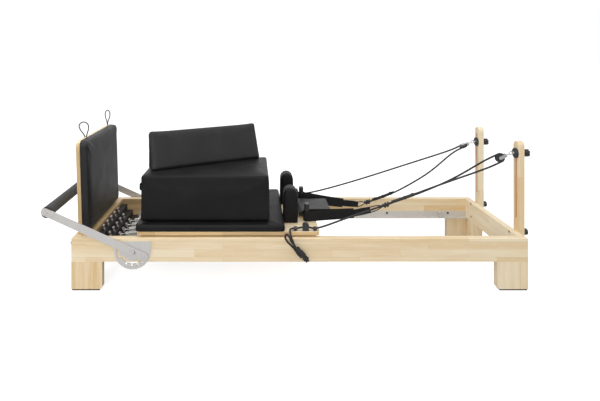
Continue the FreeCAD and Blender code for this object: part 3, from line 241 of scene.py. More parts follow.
def timber(name, grain, shade=0.0, edges=None, edge_shade=0.0, foot_end_shade=0.0):
    """Pale hardwood glued up from finger-jointed staves.

    grain is the index of the axis the staves run along; faces that look along the edges axis are darker:
    painted shade, which on board edges also stands for darker edge grain; foot_end_shade adds more painted
    shade to them towards the foot end.
    """
    wood = settings("timber")
    r = Recipe(name)
    axes = r.split()
    along = axes[grain]
    others = [axes[index] for index in range(3) if index != grain]
    across = r.total(*others)
    staves = r.add("ShaderNodeTexBrick", {
        "Vector": r.join(along, across, 0.0), "Color1": (0, 0, 0, 1), "Color2": (1, 1, 1, 1),
        "Mortar": (0.5, 0.5, 0.5, 1), "Scale": 1.0, "Mortar Size": 0.0004, "Mortar Smooth": 0.2,
        "Brick Width": wood.stave_length, "Row Height": wood.stave_width}, offset=0.41, offset_frequency=2)
    tone = r.times(staves.outputs["Color"], 1.0)
    shifted = r.join(r.times(along, 2.6), r.total(r.times(across, 30.0), r.times(tone, 37.0)),
                     r.times(others[0], 22.0))
    figure = r.noise(shifted, 1.0, 4.0, 0.55)
    fine = r.noise(r.join(r.times(along, 16.0), r.times(across, 420.0),
                          r.times(others[0], 260.0)), 1.0, 3.0, 0.6)
    pores = r.noise(r.join(r.times(along, 90.0), r.times(across, 1500.0),
                           r.times(others[0], 1100.0)), 1.0, 1.0)
    share = r.total(r.ramp(tone, -0.04, 0.40), r.ramp(figure, -0.26, 0.50, 0.3, 0.75),
                    r.ramp(fine, -0.10, 0.16, 0.25, 0.75), shade)
    if edges is not None:
        # Faces along the edges axis get painted shade, which on board edges also stands for darker edge grain.
        facing = r.split(r.add("ShaderNodeNewGeometry").outputs["Normal"])[edges]
        turned = r.math("GREATER_THAN", r.math("ABSOLUTE", facing), 0.7)
        deeper = r.total(r.ramp(axes[0], foot_end_shade, 0.0, -1.05, -0.55), edge_shade)
        share = r.total(share, r.times(turned, deeper))
    share = r.math("MAXIMUM", r.math("MINIMUM", share, 1.6), 0.0)
    colour = r.blend(r.math("MINIMUM", share, 1.0), tuple(wood.pale), tuple(wood.warm))
    dark = toned(wood.warm, 0.55)
    # Shares beyond 1, mostly from that painted shade, go on towards dark wood.
    colour = r.blend(r.ramp(share, 0.0, 0.8, 1.0, 1.6), colour, dark)
    colour = r.blend(r.ramp(pores, 0.0, 0.22, 0.60, 0.74), colour, dark)
    colour = r.blend(r.times(staves.outputs["Fac"], 0.4), colour, dark)
    height = r.total(r.times(pores, -0.5), r.times(fine, 0.4))
    r.surface(base_color=colour, roughness=r.ramp(fine, 0.40, 0.56, 0.2, 0.8))
    r.surface(coat_weight=0.12, coat_roughness=0.30)
    r.bump(height, 0.25, 0.0003)
    return r.done()


def slotted_timber(name, shade):
    """Upright timber with a long slot whose walls are painted a darker orange: painted shade in the slot."""
    r = Recipe(name, timber(name, 2, shade))
    axes = r.split()
    aside = r.math("ABSOLUTE", r.math("SUBTRACT", r.math("ABSOLUTE", axes[1]), SLOT_Y))
    level = r.times(r.math("GREATER_THAN", axes[2], SLOT_LOW), r.math("LESS_THAN", axes[2], SLOT_HIGH))
    inside = r.times(r.math("LESS_THAN", aside, SLOT_HALF), level)
    plain = r.shader.inputs["Base Color"].links[0].from_socket
    # Painted shade in the narrow slot: its walls turn dark orange.
    slot_shade = r.blend(r.noise(r.place, 60.0), (0.66, 0.22, 0.06, 1), (0.78, 0.33, 0.10, 1))
    r.surface(base_color=r.blend(inside, plain, slot_shade))
    return r.done()


def coated_fabric(name, lift=1.0, shine=0.16):
    """Black vinyl-coated fabric with a fine leather grain; lift makes it paler, as painted light, and shine
    glossier.
    """
    cover = settings("upholstery")
    black = toned(cover.cover, lift)
    r = Recipe(name)
    grain = r.add("ShaderNodeTexVoronoi", {"Vector": r.place, "Scale": 620.0, "Randomness": 0.9},
                  feature="DISTANCE_TO_EDGE").outputs["Distance"]
    creases = r.noise(r.place, 240.0, 4.0, 0.65)
    broad = r.noise(r.place, 9.0, 3.0, 0.5)
    worn = toned(black, 1.9, 0.002)
    colour = r.blend(r.ramp(broad, 0.0, 0.6, 0.35, 0.75), black, worn)
    gloss = r.total(r.ramp(broad, -0.05, 0.07, 0.3, 0.7), r.ramp(creases, -0.05, 0.05, 0.3, 0.7),
                    cover.roughness)
    height = r.total(r.ramp(grain, 0.0, 1.0, 0.0, 0.25), r.times(creases, 0.7))
    r.surface(base_color=colour, roughness=gloss)
    r.surface(specular_ior_level=shine, sheen_weight=0.02, sheen_roughness=0.4)
    r.bump(height, 0.35, 0.0004)
    return r.done()


def painted_silver(name, colour=(0.60, 0.585, 0.57, 1), roughness=0.42):
    """Satin silver finish on flat metal, with a faint brushed grain and rubbed spots."""
    r = Recipe(name)
    brushed = r.noise(r.scaled(r.place, (30, 900, 900)), 1.0, 3.0, 0.6)
    spots = r.noise(r.place, 55.0, 5.0, 0.6)
    dull = toned(colour, 0.86)
    r.surface(base_color=r.blend(r.ramp(spots, 0.0, 0.5, 0.45, 0.75), colour, dull), metallic=0.55)
    r.surface(roughness=r.total(r.ramp(brushed, -0.05, 0.07, 0.3, 0.7), roughness))
    r.bump(brushed, 0.12, 0.0002)
    return r.done()


def bright_metal(name, colour=(0.62, 0.62, 0.62, 1), roughness=0.22):
    """Plated or turned steel, with fine turning marks and handling wear."""
    r = Recipe(name)
    marks = r.noise(r.scaled(r.place, (700, 700, 700)), 1.0, 2.0, 0.6)
    wear = r.noise(r.place, 90.0, 4.0, 0.6)
    dull = toned(colour, 0.7)
    r.surface(base_color=r.blend(r.ramp(wear, 0.0, 0.6, 0.5, 0.8), colour, dull), metallic=1.0)
    r.surface(roughness=r.total(r.ramp(marks, -0.04, 0.06, 0.3, 0.7), roughness))
    r.bump(marks, 0.08, 0.0002)
    return r.done()


def moulded_black(name, colour=(0.018, 0.018, 0.019, 1), roughness=0.42, grain=900.0, depth=0.0002):
    """Black moulded plastic or rubber, with a fine spark-eroded texture."""
    r = Recipe(name)
    texture = r.noise(r.place, grain, 3.0, 0.6)
    scuffs = r.noise(r.place, 60.0, 6.0, 0.7)
    pale = toned(colour, 2.2, 0.006)
    r.surface(base_color=r.blend(r.ramp(scuffs, 0.0, 0.5, 0.55, 0.8), colour, pale))
    r.surface(roughness=r.total(r.ramp(texture, -0.06, 0.08, 0.3, 0.7), roughness))
    r.bump(texture, 0.4, depth)
    return r.done()


def two_part(name, first, second, axis, edge, both_ends=False):
    """The first finish up to a plane across an axis, or between two planes, and the second beyond."""
    r = Recipe(name)
    place = r.math("ABSOLUTE", r.split()[axis]) if both_ends else r.split()[axis]
    beyond = r.math("GREATER_THAN", place, edge)
    worn = r.noise(r.place, 90.0, 4.0, 0.6)
    texture = r.noise(r.place, 900.0, 3.0, 0.6)
    sides = []
    for colour, metal, rough in (first, second):
        dull = toned(colour, 0.75)
        sides.append((r.blend(r.ramp(worn, 0.0, 0.6, 0.45, 0.8), colour, dull), metal, rough))
    r.surface(base_color=r.blend(beyond, sides[0][0], sides[1][0]))
    r.surface(metallic=r.ramp(beyond, sides[0][1], sides[1][1]))
    r.surface(roughness=r.total(r.ramp(beyond, sides[0][2], sides[1][2]),
                                r.ramp(texture, -0.05, 0.06, 0.3, 0.7)))
    r.bump(texture, 0.25, 0.0002)
    return r.done()


def cell_foam(name, colour=(0.040, 0.042, 0.045, 1)):
    """Charcoal cellular foam grip, with open pores and a moulded skin."""
    r = Recipe(name)
    cells = r.add("ShaderNodeTexVoronoi", {"Vector": r.place, "Scale": 520.0}).outputs["Distance"]
    patches = r.noise(r.place, 30.0, 4.0, 0.6)
    pale = toned(colour, 1.5)
    r.surface(base_color=r.blend(r.ramp(patches, 0.0, 0.7, 0.35, 0.7), colour, pale))
    r.surface(roughness=r.ramp(patches, 0.62, 0.78, 0.3, 0.7))
    r.bump(cells, 0.4, 0.0005)
    return r.done()


def woven_cord(name, turns):
    """Braided black rope: two sets of strands that cross, laid out on the cord's own map."""
    cord = settings("cord")
    r = Recipe(name)
    axes = r.split(r.add("ShaderNodeTexCoord").outputs["UV"])
    ways = [r.math("SINE", r.total(r.times(axes[0], turns * math.tau), r.times(axes[1], side * 4 * math.tau)))
            for side in (1.0, -1.0)]
    braid = r.math("MAXIMUM", ways[0], ways[1])
    fuzz = r.noise(r.place, 700.0, 3.0, 0.6)
    pale = toned(cord.black, 2.4, 0.004)
    r.surface(base_color=r.blend(r.ramp(braid, 0.0, 0.8, -0.2, 1.0), tuple(cord.black), pale))
    r.surface(roughness=r.ramp(fuzz, 0.62, 0.82, 0.3, 0.7), sheen_weight=0.06)
    r.bump(r.total(braid, r.times(fuzz, 0.5)), 0.7, 0.0006)
    return r.done()


def webbing(name, slope=0.0):
    """Black woven webbing: ribs along the strap, crossed by a fine weft."""
    cord = settings("cord")
    r = Recipe(name)
    laid = r.scaled(r.place, (1, 1, 1), (0, math.radians(slope), 0))
    axes = r.split(laid)
    ribs = r.math("SINE", r.times(axes[2], math.tau / 0.0021))
    weft = r.math("SINE", r.total(r.times(axes[0], math.tau / 0.0016), r.times(ribs, 1.2)))
    fuzz = r.noise(r.place, 500.0, 3.0, 0.6)
    pale = toned(cord.black, 2.0, 0.004)
    height = r.total(r.times(ribs, 0.6), r.times(weft, 0.5), fuzz)
    r.surface(base_color=r.blend(r.ramp(height, 0.0, 0.7, 0.2, 1.5), tuple(cord.black), pale))
    r.surface(roughness=r.ramp(fuzz, 0.60, 0.80, 0.3, 0.7), sheen_weight=0.02, specular_ior_level=0.2)
    r.bump(height, 0.5, 0.0004)
    return r.done()


# ---------------------------------------------------------------- making pieces


def settled(thing):
    """The mesh that an object shows, with its modifiers or its curve worked out."""
    bpy.context.view_layer.update()
    shown = thing.evaluated_get(bpy.context.evaluated_depsgraph_get())
    return bpy.data.meshes.new_from_object(shown)


def linked(name, data):
    thing = bpy.data.objects.new(name, data)
    bpy.context.collection.objects.link(thing)
    return thing


def spent(thing):
    """The mesh that an object shows; the object itself is then removed."""
    data = settled(thing)
    bpy.data.objects.remove(thing)
    return data


def dressed(thing, body, material, smooth=True):
    data = thing.data
    data.materials.clear()
    data.materials.append(material)
    if smooth and isinstance(data, bpy.types.Mesh):
        data.shade_smooth()
    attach(thing, body)
    return thing


def piece(name, data, body, material, smooth=True):
    return dressed(linked(name, data), body, material, smooth)


def mesh_from(bm, name):
    bmesh.ops.recalc_face_normals(bm, faces=bm.faces)
    data = bpy.data.meshes.new(name)
    bm.to_mesh(data)
    bm.free()
    return data


def spline(name, points, radius, cyclic=False, resolution=10, sides=3):
    """A smooth cord through a route; its control points are the route's own."""
    curve = bpy.data.curves.new(name, "CURVE")
    curve.dimensions = "3D"
    curve.resolution_u = resolution
    curve.bevel_depth = radius
    curve.bevel_resolution = sides
    curve.use_fill_caps = not cyclic
    line = curve.splines.new("NURBS")
    line.points.add(len(points) - 1)
    for control, point in zip(line.points, points):
        control.co = (*point, 1.0)
    line.order_u = 3
    line.use_endpoint_u = not cyclic
    line.use_cyclic_u = cyclic
    return curve


def rod_mesh(name, points, radius, cyclic=False, sides=2):
    """A bent wire as a mesh, for metal hooks and lashings."""
    return spent(linked(name, spline(name, points, radius, cyclic, 8, sides)))


def line_points(curve):
    """The points of a route's own smooth line, from its start."""
    bare = curve.copy()
    bare.bevel_depth = 0
    return [vertex.co.copy() for vertex in spent(linked("line", bare)).vertices]


def stretch_of(points, start, end):
    """The part of a line between two distances from its far end, far end first."""
    kept, gone = [], 0.0
    for before, point in zip([points[-1]] + points[::-1], points[::-1]):
        gone += (point - before).length
        if start <= gone <= end:
            kept.append(point)
    return kept


def line_length(curve):
    points = line_points(curve)
    return sum((b - a).length for a, b in zip(points, points[1:]))


def joined(name, meshes):
    """Several meshes as one, each kept as its own shell."""
    bm = bmesh.new()
    for data in meshes:
        bm.from_mesh(data)
    data = bpy.data.meshes.new(name)
    bm.to_mesh(data)
    bm.free()
    return data


def along_edges(bm, axis, keep=lambda middle: True):
    """Edges that run along an axis and whose middle passes the test."""
    return [edge for edge in bm.edges
            if abs((edge.verts[1].co - edge.verts[0].co).normalized().dot(axis)) > 0.999
            and keep((edge.verts[0].co + edge.verts[1].co) / 2)]


def edges_beyond(bm, axis, least):
    """Edges with both ends past a plane across an axis."""
    return [edge for edge in bm.edges if all(vertex.co[axis] > least for vertex in edge.verts)]


def bevel(bm, edges, offset, segments):
    bmesh.ops.bevel(bm, geom=edges, offset=offset, offset_type="OFFSET", segments=segments, profile=0.5,
                    affect="EDGES", material=-1)


def moved_part(bm, made, vec):
    """Move the points among what an operator made; its new edges come back."""
    bmesh.ops.translate(bm, vec=vec, verts=[item for item in made if isinstance(item, bmesh.types.BMVert)])
    return [item for item in made if isinstance(item, bmesh.types.BMEdge)]


def ribbon(route, low, rise, levels):
    """An upright band along a route, made level by level."""
    bm = bmesh.new()
    line = [bm.verts.new((x, y, low)) for x, y in route]
    edges = [bm.edges.new((a, b)) for a, b in zip(line, line[1:])]
    for level in range(levels):
        edges = moved_part(bm, bmesh.ops.extrude_edge_only(bm, edges=edges)["geom"], (0, 0, rise))
    return bm


def thicken(thing, finer_levels):
    """Give a band of webbing its thickness and a soft shape."""
    solid = thing.modifiers.new("Thickness", "SOLIDIFY")
    solid.thickness, solid.offset = 0.0030, 0.0
    finer = thing.modifiers.new("Finer", "SUBSURF")
    finer.levels = finer.render_levels = finer_levels


def block(low, high, inset=(0, 0), drop=0.0):
    """A box between two corners, drawn in at its sides and lowered at its top."""
    inset = Vector((*inset, 0))
    low, high = low + inset, high - inset - Z_AXIS * drop
    bm = bmesh.new()
    bmesh.ops.create_cube(bm, size=1.0)
    size, middle = high - low, (low + high) / 2
    bmesh.ops.scale(bm, vec=size, verts=bm.verts)
    bmesh.ops.translate(bm, vec=middle, verts=bm.verts)
    return bm


class Cushion:
    """A filled cover: a remeshed shell, blown up by the cloth solver, then fitted to its own extents."""

    waiting = []

    def __init__(self, name, shell, body, nodes, voxel, fill, low, high, pinned, swell=None, turn=None):
        self.name, self.body, self.nodes, self.fill = name, body, nodes, fill
        self.low, self.high, self.swell, self.turn = low, high, swell, turn
        self.thing = linked(name, mesh_from(shell, name))
        remesh = self.thing.modifiers.new("Cells", "REMESH")
        remesh.mode = "VOXEL"
        remesh.voxel_size = voxel
        data = settled(self.thing)
        self.thing.modifiers.clear()
        self.thing.data = data
        group = self.thing.vertex_groups.new(name="seat")
        group.add([v.index for v in data.vertices if pinned(v.co)], 1.0, "REPLACE")
        self.start = [v.co.copy() for v in data.vertices]
        Cushion.waiting.append(self)

    def add_cloth(self):
        upholstery = settings("upholstery")
        cloth = self.thing.modifiers.new("Cover", "CLOTH")
        cloth.settings.quality = 5
        cloth.settings.tension_stiffness = 25
        cloth.settings.compression_stiffness = 25
        cloth.settings.bending_stiffness = 4
        cloth.settings.use_pressure = True
        cloth.settings.uniform_pressure_force = upholstery.pressure
        cloth.settings.vertex_group_mass = "seat"
        cloth.settings.effector_weights.gravity = 0
        cloth.point_cache.frame_end = CLOTH_STEPS

    def take_shape(self, blown):
        """Keep a limited share of the swelling, inside the space that the cushion has."""
        limit = self.swell or settings("upholstery").swell
        data = self.thing.data
        places = []
        for start, end in zip(self.start, blown or self.start):
            move = end - start
            places.append(start + move * (limit / (limit + move.length)))
        for axis in range(3):
            least, most = min(p[axis] for p in places), max(p[axis] for p in places)
            low, high = self.low[axis], self.high[axis]
            for place in places:
                place[axis] = low + (place[axis] - least) / (most - least) * (high - low)
        for vertex, place in zip(data.vertices, places):
            vertex.co = place
        if self.turn:
            data.transform(self.turn)
        self.thing.vertex_groups.clear()
        finer = self.thing.modifiers.new("Finer", "SUBSURF")
        finer.levels = finer.render_levels = 1

    def finish(self, material):
        data = settled(self.thing)
        self.thing.modifiers.clear()
        self.thing.data = data
        dressed(self.thing, self.body, material)
        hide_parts(*self.nodes)


def fill_cushions(covers, plain):
    """Blow all the waiting cushions up in one run, then finish each in its own cover or the plain one."""
    cushions = Cushion.waiting
    blown = {cushion.name: None for cushion in cushions}
    for cushion in cushions:
        cushion.add_cloth()
    for step in range(1, CLOTH_STEPS + 1):
        bpy.context.scene.frame_set(step)
    graph = bpy.context.evaluated_depsgraph_get()
    for cushion in cushions:
        shown = cushion.thing.evaluated_get(graph)
        blown[cushion.name] = [vertex.co.copy() for vertex in shown.data.vertices]
    for cushion in cushions:
        cushion.thing.modifiers.clear()
    bpy.context.scene.frame_set(1)
    for cushion in cushions:
        cushion.take_shape(blown[cushion.name])
        cushion.finish(covers.get(cushion.name, plain))


def both(name):
    return name + "_front", name + "_back"


def repaint(material, *nodes):
    for name in nodes:
        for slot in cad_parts[name].material_slots:
            slot.material = material


# ---------------------------------------------------------------- operators


class REFORMER_OT_stage(bpy.types.Operator):
    """Set up the pale floor, the soft lamps and the camera"""

    bl_idname = "reformer.stage"
    bl_label = "Stage"

    def execute(self, context):
        studio = settings("studio")
        scene = context.scene
        scene.view_settings.view_transform = "Standard"
        self.camera(scene)
        self.floor(studio)
        self.lamps(studio)
        self.world(scene)
        return {"FINISHED"}

    def camera(self, scene):
        data = bpy.data.cameras.new("Camera")
        data.sensor_width = 36.0
        data.lens = 28.2
        data.shift_x = 0.0783
        data.shift_y = -0.2575
        camera = bpy.data.objects.new("Camera", data)
        camera.location = at(-245, -2808, 1285)
        camera.rotation_euler = (math.radians(90), 0, 0)
        scene.collection.objects.link(camera)
        scene.camera = camera

    def floor(self, studio):
        bm = bmesh.new()
        bmesh.ops.create_grid(bm, x_segments=2, y_segments=2, size=30.0)
        data = mesh_from(bm, "floor")
        ground = linked("floor", data)
        r = Recipe("floor")
        r.surface(base_color=tuple(studio.floor), roughness=0.9)
        # Lifted to white for the eye, and a little in reflections; its light on the object stays as it is.
        sight = r.add("ShaderNodeLightPath").outputs
        seen = r.math("MAXIMUM", sight["Is Camera Ray"], r.times(sight["Is Glossy Ray"], FLOOR_SHINE))
        seen = r.math("MAXIMUM", seen, sight["Is Transmission Ray"])
        r.surface(emission_color=(1, 1, 1, 1), emission_strength=r.times(seen, FLOOR_GLOW))
        data.materials.append(r.done())

    def lamps(self, studio):
        for name, place, aim, size, power in (
                ("Overhead", (0.1, -0.3, 3.4), (0.05, 0.0, 0.3), (4.6, 2.6), studio.overhead_power),
                ("Front", (-0.7, -3.6, 1.9), (0.05, 0.0, 0.35), (3.4, 2.0), studio.front_power),
                ("Right", (3.6, -1.4, 1.6), (0.0, 0.0, 0.4), (1.8, 1.8), studio.front_power * 0.30),
                ("Left", (-3.4, -0.8, 2.4), (0.6, 0.0, 0.3), (1.8, 1.8), studio.front_power * 0.80)):
            data = bpy.data.lights.new(name, "AREA")
            data.shape = "RECTANGLE"
            data.size, data.size_y = size
            data.energy = power
            lamp = linked(name, data)
            lamp.location = place
            lamp.rotation_euler = (Vector(aim) - Vector(place)).to_track_quat("-Z", "Y").to_euler()

    def world(self, scene):
        world = bpy.data.worlds.new("Studio")
        world.use_nodes = True
        nodes, links = world.node_tree.nodes, world.node_tree.links
        background = nodes["Background"]
        background.inputs["Color"].default_value = (1, 1, 1, 1)
        sight = nodes.new("ShaderNodeLightPath")
        high = nodes.new("ShaderNodeMath")
        high.operation = "MAXIMUM"
        links.new(sight.outputs["Is Camera Ray"], high.inputs[0])
        links.new(sight.outputs["Is Transmission Ray"], high.inputs[1])
        shine = nodes.new("ShaderNodeMath")
        shine.operation = "MULTIPLY_ADD"
        shine.use_clamp = True
        links.new(sight.outputs["Is Glossy Ray"], shine.inputs[0])
        shine.inputs[1].default_value = WORLD_SHINE
        links.new(high.outputs[0], shine.inputs[2])
        spread = nodes.new("ShaderNodeMapRange")
        spread.inputs["To Min"].default_value = WORLD_LIGHT
        spread.inputs["To Max"].default_value = 1.0
        links.new(shine.outputs[0], spread.inputs["Value"])
        links.new(spread.outputs[0], background.inputs["Strength"])
        scene.world = world


class Sheave:
    """Places round one pulley's sheave; the rope comes in along u at -v and leaves at +v."""

    def __init__(self, name):
        low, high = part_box("pulley_sheave_" + name)
        self.centre = (Vector(low) + Vector(high)) / 2
        rise, run = math.sin(ROPE_SLOPE), math.cos(ROPE_SLOPE)
        self.u = Vector((run, 0, rise))
        self.v = Vector((-rise, 0, run)) if name == "front" else Vector((0, -1, 0))

    def at(self, u, v):
        return self.centre + (self.u * u + self.v * v) * MM

    def wrap(self):
        """Half a turn on the groove's pitch circle, with the straight lead before and after it."""
        r, t, lead = SHEAVE_PITCH_RADIUS, SHEAVE_PITCH_RADIUS * math.tan(EIGHTH_TURN / 2), SHEAVE_LEAD
        return [self.at(-lead, -r), self.at(-t, -r), self.at(t, -r), self.at(r, -t), self.at(r, t),
                self.at(t, r), self.at(-t, r), self.at(-lead, r)]


class REFORMER_OT_ropes(bpy.types.Operator):
    """Run both ropes through their cleats and pulleys, with their knots and the spare rope"""

    bl_idname = "reformer.ropes"
    bl_label = "Ropes"

    def execute(self, context):
        self.radius = settings("cord").rope_diameter / 2
        self.run("front", FRONT_CLEAT, FRONT_STRETCH, FRONT_RETURN)
        self.run("back", BACK_ENTRY + BACK_CLEAT, BACK_STRETCH, BACK_RETURN)
        self.tail()
        return {"FINISHED"}

    def declare(self, name, curve, nodes, far_end, lay, with_pieces=()):
        long = line_length(curve)
        rope = piece(name, curve, "carriage", woven_cord(name + "_braid", long / ROPE_BRAID))
        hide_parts(*nodes)
        return rope

    def run(self, name, entry, stretch, way_back):
        route = [at(*point) for point in entry + stretch] + Sheave(name).wrap() + [at(*p) for p in way_back]
        curve = spline("rope_line_" + name, route, self.radius, resolution=12)
        line = line_points(curve)
        knot = self.knot("rope_knot_" + name, route[-1], (route[-1] - route[-2]).normalized())
        splice = self.splice("rope_splice_" + name, line)
        self.declare("rope_line_" + name, curve, ["rope_" + name], "knot", "taut", [knot, splice])

    def knot(self, name, place, toward):
        """A stopper knot: snug turns that cross each other, with the end tucked through."""
        side = toward.orthogonal().normalized()
        up = toward.cross(side)
        parts = []
        for lean, reach, middle in ((0.55, 2.0, 0.008), (-0.50, 2.2, 0.016), (0.45, 2.1, 0.024),
                                    (-0.35, 1.7, 0.032)):
            ring = [place + toward * (middle + lean * self.radius * 1.5 * math.cos(angle))
                    + side * (math.cos(angle) * self.radius * reach)
                    + up * (math.sin(angle) * self.radius * reach)
                    for angle in (step * EIGHTH_TURN for step in range(8))]
            parts.append(rod_mesh(name, ring, self.radius * 0.95, cyclic=True, sides=3))
        core = [place - toward * 0.004, place + toward * 0.018, place + toward * 0.040]
        parts.append(rod_mesh(name, core, self.radius * 1.15, sides=3))
        return piece(name, joined(name, parts), "carriage", woven_cord(name + "_braid", 16.0))

    def splice(self, name, line):
        """The rope's end laid back along itself for a hand's breadth, and whipped down with thin cord."""
        lay = stretch_of(line, 0.004, 0.168)
        inward = [(b - a).normalized() for a, b in zip(lay, lay[1:])]
        inward.append(inward[-1])
        beside = []
        for count, (point, along) in enumerate(zip(lay, inward)):
            side = along.cross(Y_AXIS).normalized()
            near_end = min(1.0, 0.55 + (len(lay) - 1 - count) * 0.15)
            beside.append(point + side * self.radius * 1.7 * near_end)
        parts = [rod_mesh(name, beside[::2] + beside[-1:], self.radius * 0.85, sides=3)]
        for reach, turns in ((0.030, 5), (0.085, 4), (0.140, 6)):
            centre = stretch_of(line, reach - 0.012, reach + 0.012)
            if len(centre) < 2:
                continue
            along = (centre[-1] - centre[0]).normalized()
            side = along.cross(Y_AXIS).normalized()
            up = along.cross(side)
            middle = centre[len(centre) // 2] + side * self.radius * 0.85
            for turn in range(turns):
                place = middle + along * (turn - turns / 2) * 0.0022
                ring = [place + side * (math.cos(angle) * self.radius * 2.05)
                        + up * (math.sin(angle) * self.radius * 1.25)
                        for angle in (step * EIGHTH_TURN for step in range(8))]
                parts.append(rod_mesh(name, ring, 0.0012, cyclic=True, sides=1))
        return piece(name, joined(name, parts), "carriage", woven_cord(name + "_braid", 14.0))

    def tail(self):
        points = [at(*point) for point in FRONT_TAIL + HANK_TURNS]
        wraps = []
        for place, toward, reach in ((at(-10, -359, 218), at(-24, -358, 238), 0.0135),
                                     (at(8, -359, 198), at(-6, -359, 214), 0.0155),
                                     (at(29, -360, 177), at(13, -359, 189), 0.0115)):
            axis = (place - toward).normalized()
            side = axis.orthogonal().normalized()
            up = axis.cross(side)
            helix = [place + axis * (step * 0.0013 - 0.015) + side * (math.cos(step * EIGHTH_TURN) * reach)
                     + up * (math.sin(step * EIGHTH_TURN) * reach * 0.8) for step in range(24)]
            wraps.append(rod_mesh("hank_wrap", helix, self.radius * 0.9, sides=3))
        tie = piece("rope_hank_wraps", joined("rope_hank_wraps", wraps), "carriage",
                    woven_cord("hank_wrap_braid", 30.0))
        spare = spline("rope_spare", points, self.radius)
        self.declare("rope_spare", spare, ["rope_tail", "rope_front"], "bare", "hanging", [tie])


class REFORMER_OT_handle_straps(bpy.types.Operator):
    """Make the two webbing handle straps that hang on the pegs"""

    bl_idname = "reformer.handle_straps"
    bl_label = "Handle straps"

    def execute(self, context):
        self.one("front", -1, 328.0, -3.0, -11.5, FRONT_RETURN)
        self.one("back", 1, 333.0, 8.0, 5.0, BACK_RETURN)
        return {"FINISHED"}

    def turned(self, slope):
        return Matrix.Rotation(math.radians(slope), 4, "Y")

    def one(self, name, sign, centre_z, slope, tail_slope, way_back):
        peg = at(58, sign * 155, centre_z)
        cloth = webbing("webbing_" + name, slope)
        band = self.band(name, peg, slope, cloth)
        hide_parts("strap_" + name)
        tip = peg + self.turned(slope).to_3x3() @ Vector((STRAP_REACH, 0, 0))
        tail_end = self.stitched_end(name, tip, tail_slope, cloth)
        self.lashing(name, tail_end, tail_slope, way_back)

    def band(self, name, peg, slope, cloth):
        """A loop of webbing set on edge: round the peg, then its two sides drawn together."""
        side = [(-0.0200, 0.0), (-0.0186, 0.0078), (-0.0141, 0.0142), (-0.0060, 0.0190), (0.006, 0.0200),
                (0.030, 0.0195), (0.070, 0.0172), (0.120, 0.0135), (0.180, 0.0086), (0.230, 0.0050),
                (STRAP_REACH, 0.0032)]
        outline = side + [(x, -y) for x, y in reversed(side[1:])]
        bm = ribbon(outline, -STRAP_HALF_WIDTH, 0.0054, 10)
        bmesh.ops.subdivide_edges(bm, edges=along_edges(bm, X_AXIS), cuts=1, use_grid_fill=True)
        for vertex in bm.verts:
            lift = vertex.co.z / STRAP_HALF_WIDTH
            vertex.co.y += 0.0012 * math.sin(vertex.co.x * 34) * lift
            vertex.co.z += 0.0009 * math.sin(vertex.co.x * 21 + 1.0)
        data = mesh_from(bm, "handle_strap_" + name)
        data.transform(Matrix.Translation(peg) @ self.turned(slope))
        strap = piece("handle_strap_" + name, data, "carriage", cloth)
        thicken(strap, 1)
        return strap

    def stitched_end(self, name, tip, slope, cloth):
        """The doubled, sewn end of the strap, with rows of stitches across it."""
        long, tall, thick = 0.094, 0.038, 0.0074
        bm = block(Vector((-0.006, -thick / 2, -tall / 2)), Vector((long, thick / 2, tall / 2)))
        bmesh.ops.subdivide_edges(bm, edges=along_edges(bm, X_AXIS), cuts=18, use_grid_fill=True)
        bmesh.ops.subdivide_edges(bm, edges=along_edges(bm, Z_AXIS), cuts=8, use_grid_fill=True)
        for vertex in bm.verts:
            pinch = 1.0 - 0.12 * max(0.0, (vertex.co.x - 0.055) / 0.04)
            vertex.co.z *= pinch
            vertex.co.y *= 1.0 + 0.10 * math.cos(vertex.co.z * 260)
        place = Matrix.Translation(tip) @ self.turned(slope)
        data = mesh_from(bm, "strap_end_" + name)
        data.transform(place)
        end = piece("strap_end_" + name, data, "carriage", cloth)
        edge = end.modifiers.new("Soft edge", "BEVEL")
        edge.width, edge.segments, edge.limit_method = 0.0012, 2, "ANGLE"
        rows = []
        for face in (-1, 1):
            for row in (0.010, 0.022, 0.066, 0.078):
                for stitch in range(8):
                    low = -tall / 2 + 0.004 + stitch * 0.0036
                    y = face * (thick / 2 + 0.0005)
                    rows.append(rod_mesh("stitch", [(row, y, low), (row + 0.0004, y * 1.12, low + 0.0012),
                                                    (row, y, low + 0.0025)], 0.00045, sides=1))
        thread = joined("strap_stitches_" + name, rows)
        thread.transform(place)
        piece("strap_stitches_" + name, thread, "carriage", moulded_black(
            "thread_" + name, colour=(0.05, 0.05, 0.052, 1), roughness=0.6))
        return tip + self.turned(slope).to_3x3() @ Vector((long, 0, 0))

    def lashing(self, name, tail_end, slope, way_back):
        """Two thin cords from the sewn end up to the knot."""
        radius = settings("cord").lashing_diameter / 2
        last, before = at(*way_back[-1]), at(*way_back[-2])
        knot = last + (last - before).normalized() * KNOT_LENGTH
        up = self.turned(slope).to_3x3() @ Vector((0, 0, 0.0150))
        cords = []
        for side in (1, -1):
            start = tail_end + up * side
            end = knot + Z_AXIS * 0.0035 * side
            middle = start.lerp(end, 0.5) + up * side * 0.25 + Y_AXIS * 0.002 * side
            cords.append(rod_mesh("lashing", [start - (end - start) * 0.10, start.lerp(end, 0.12), middle,
                                              start.lerp(end, 0.88), end], radius, sides=2))
        piece("strap_lashing_" + name, joined("strap_lashing_" + name, cords), "carriage",
              woven_cord("lashing_braid_" + name, 26.0))


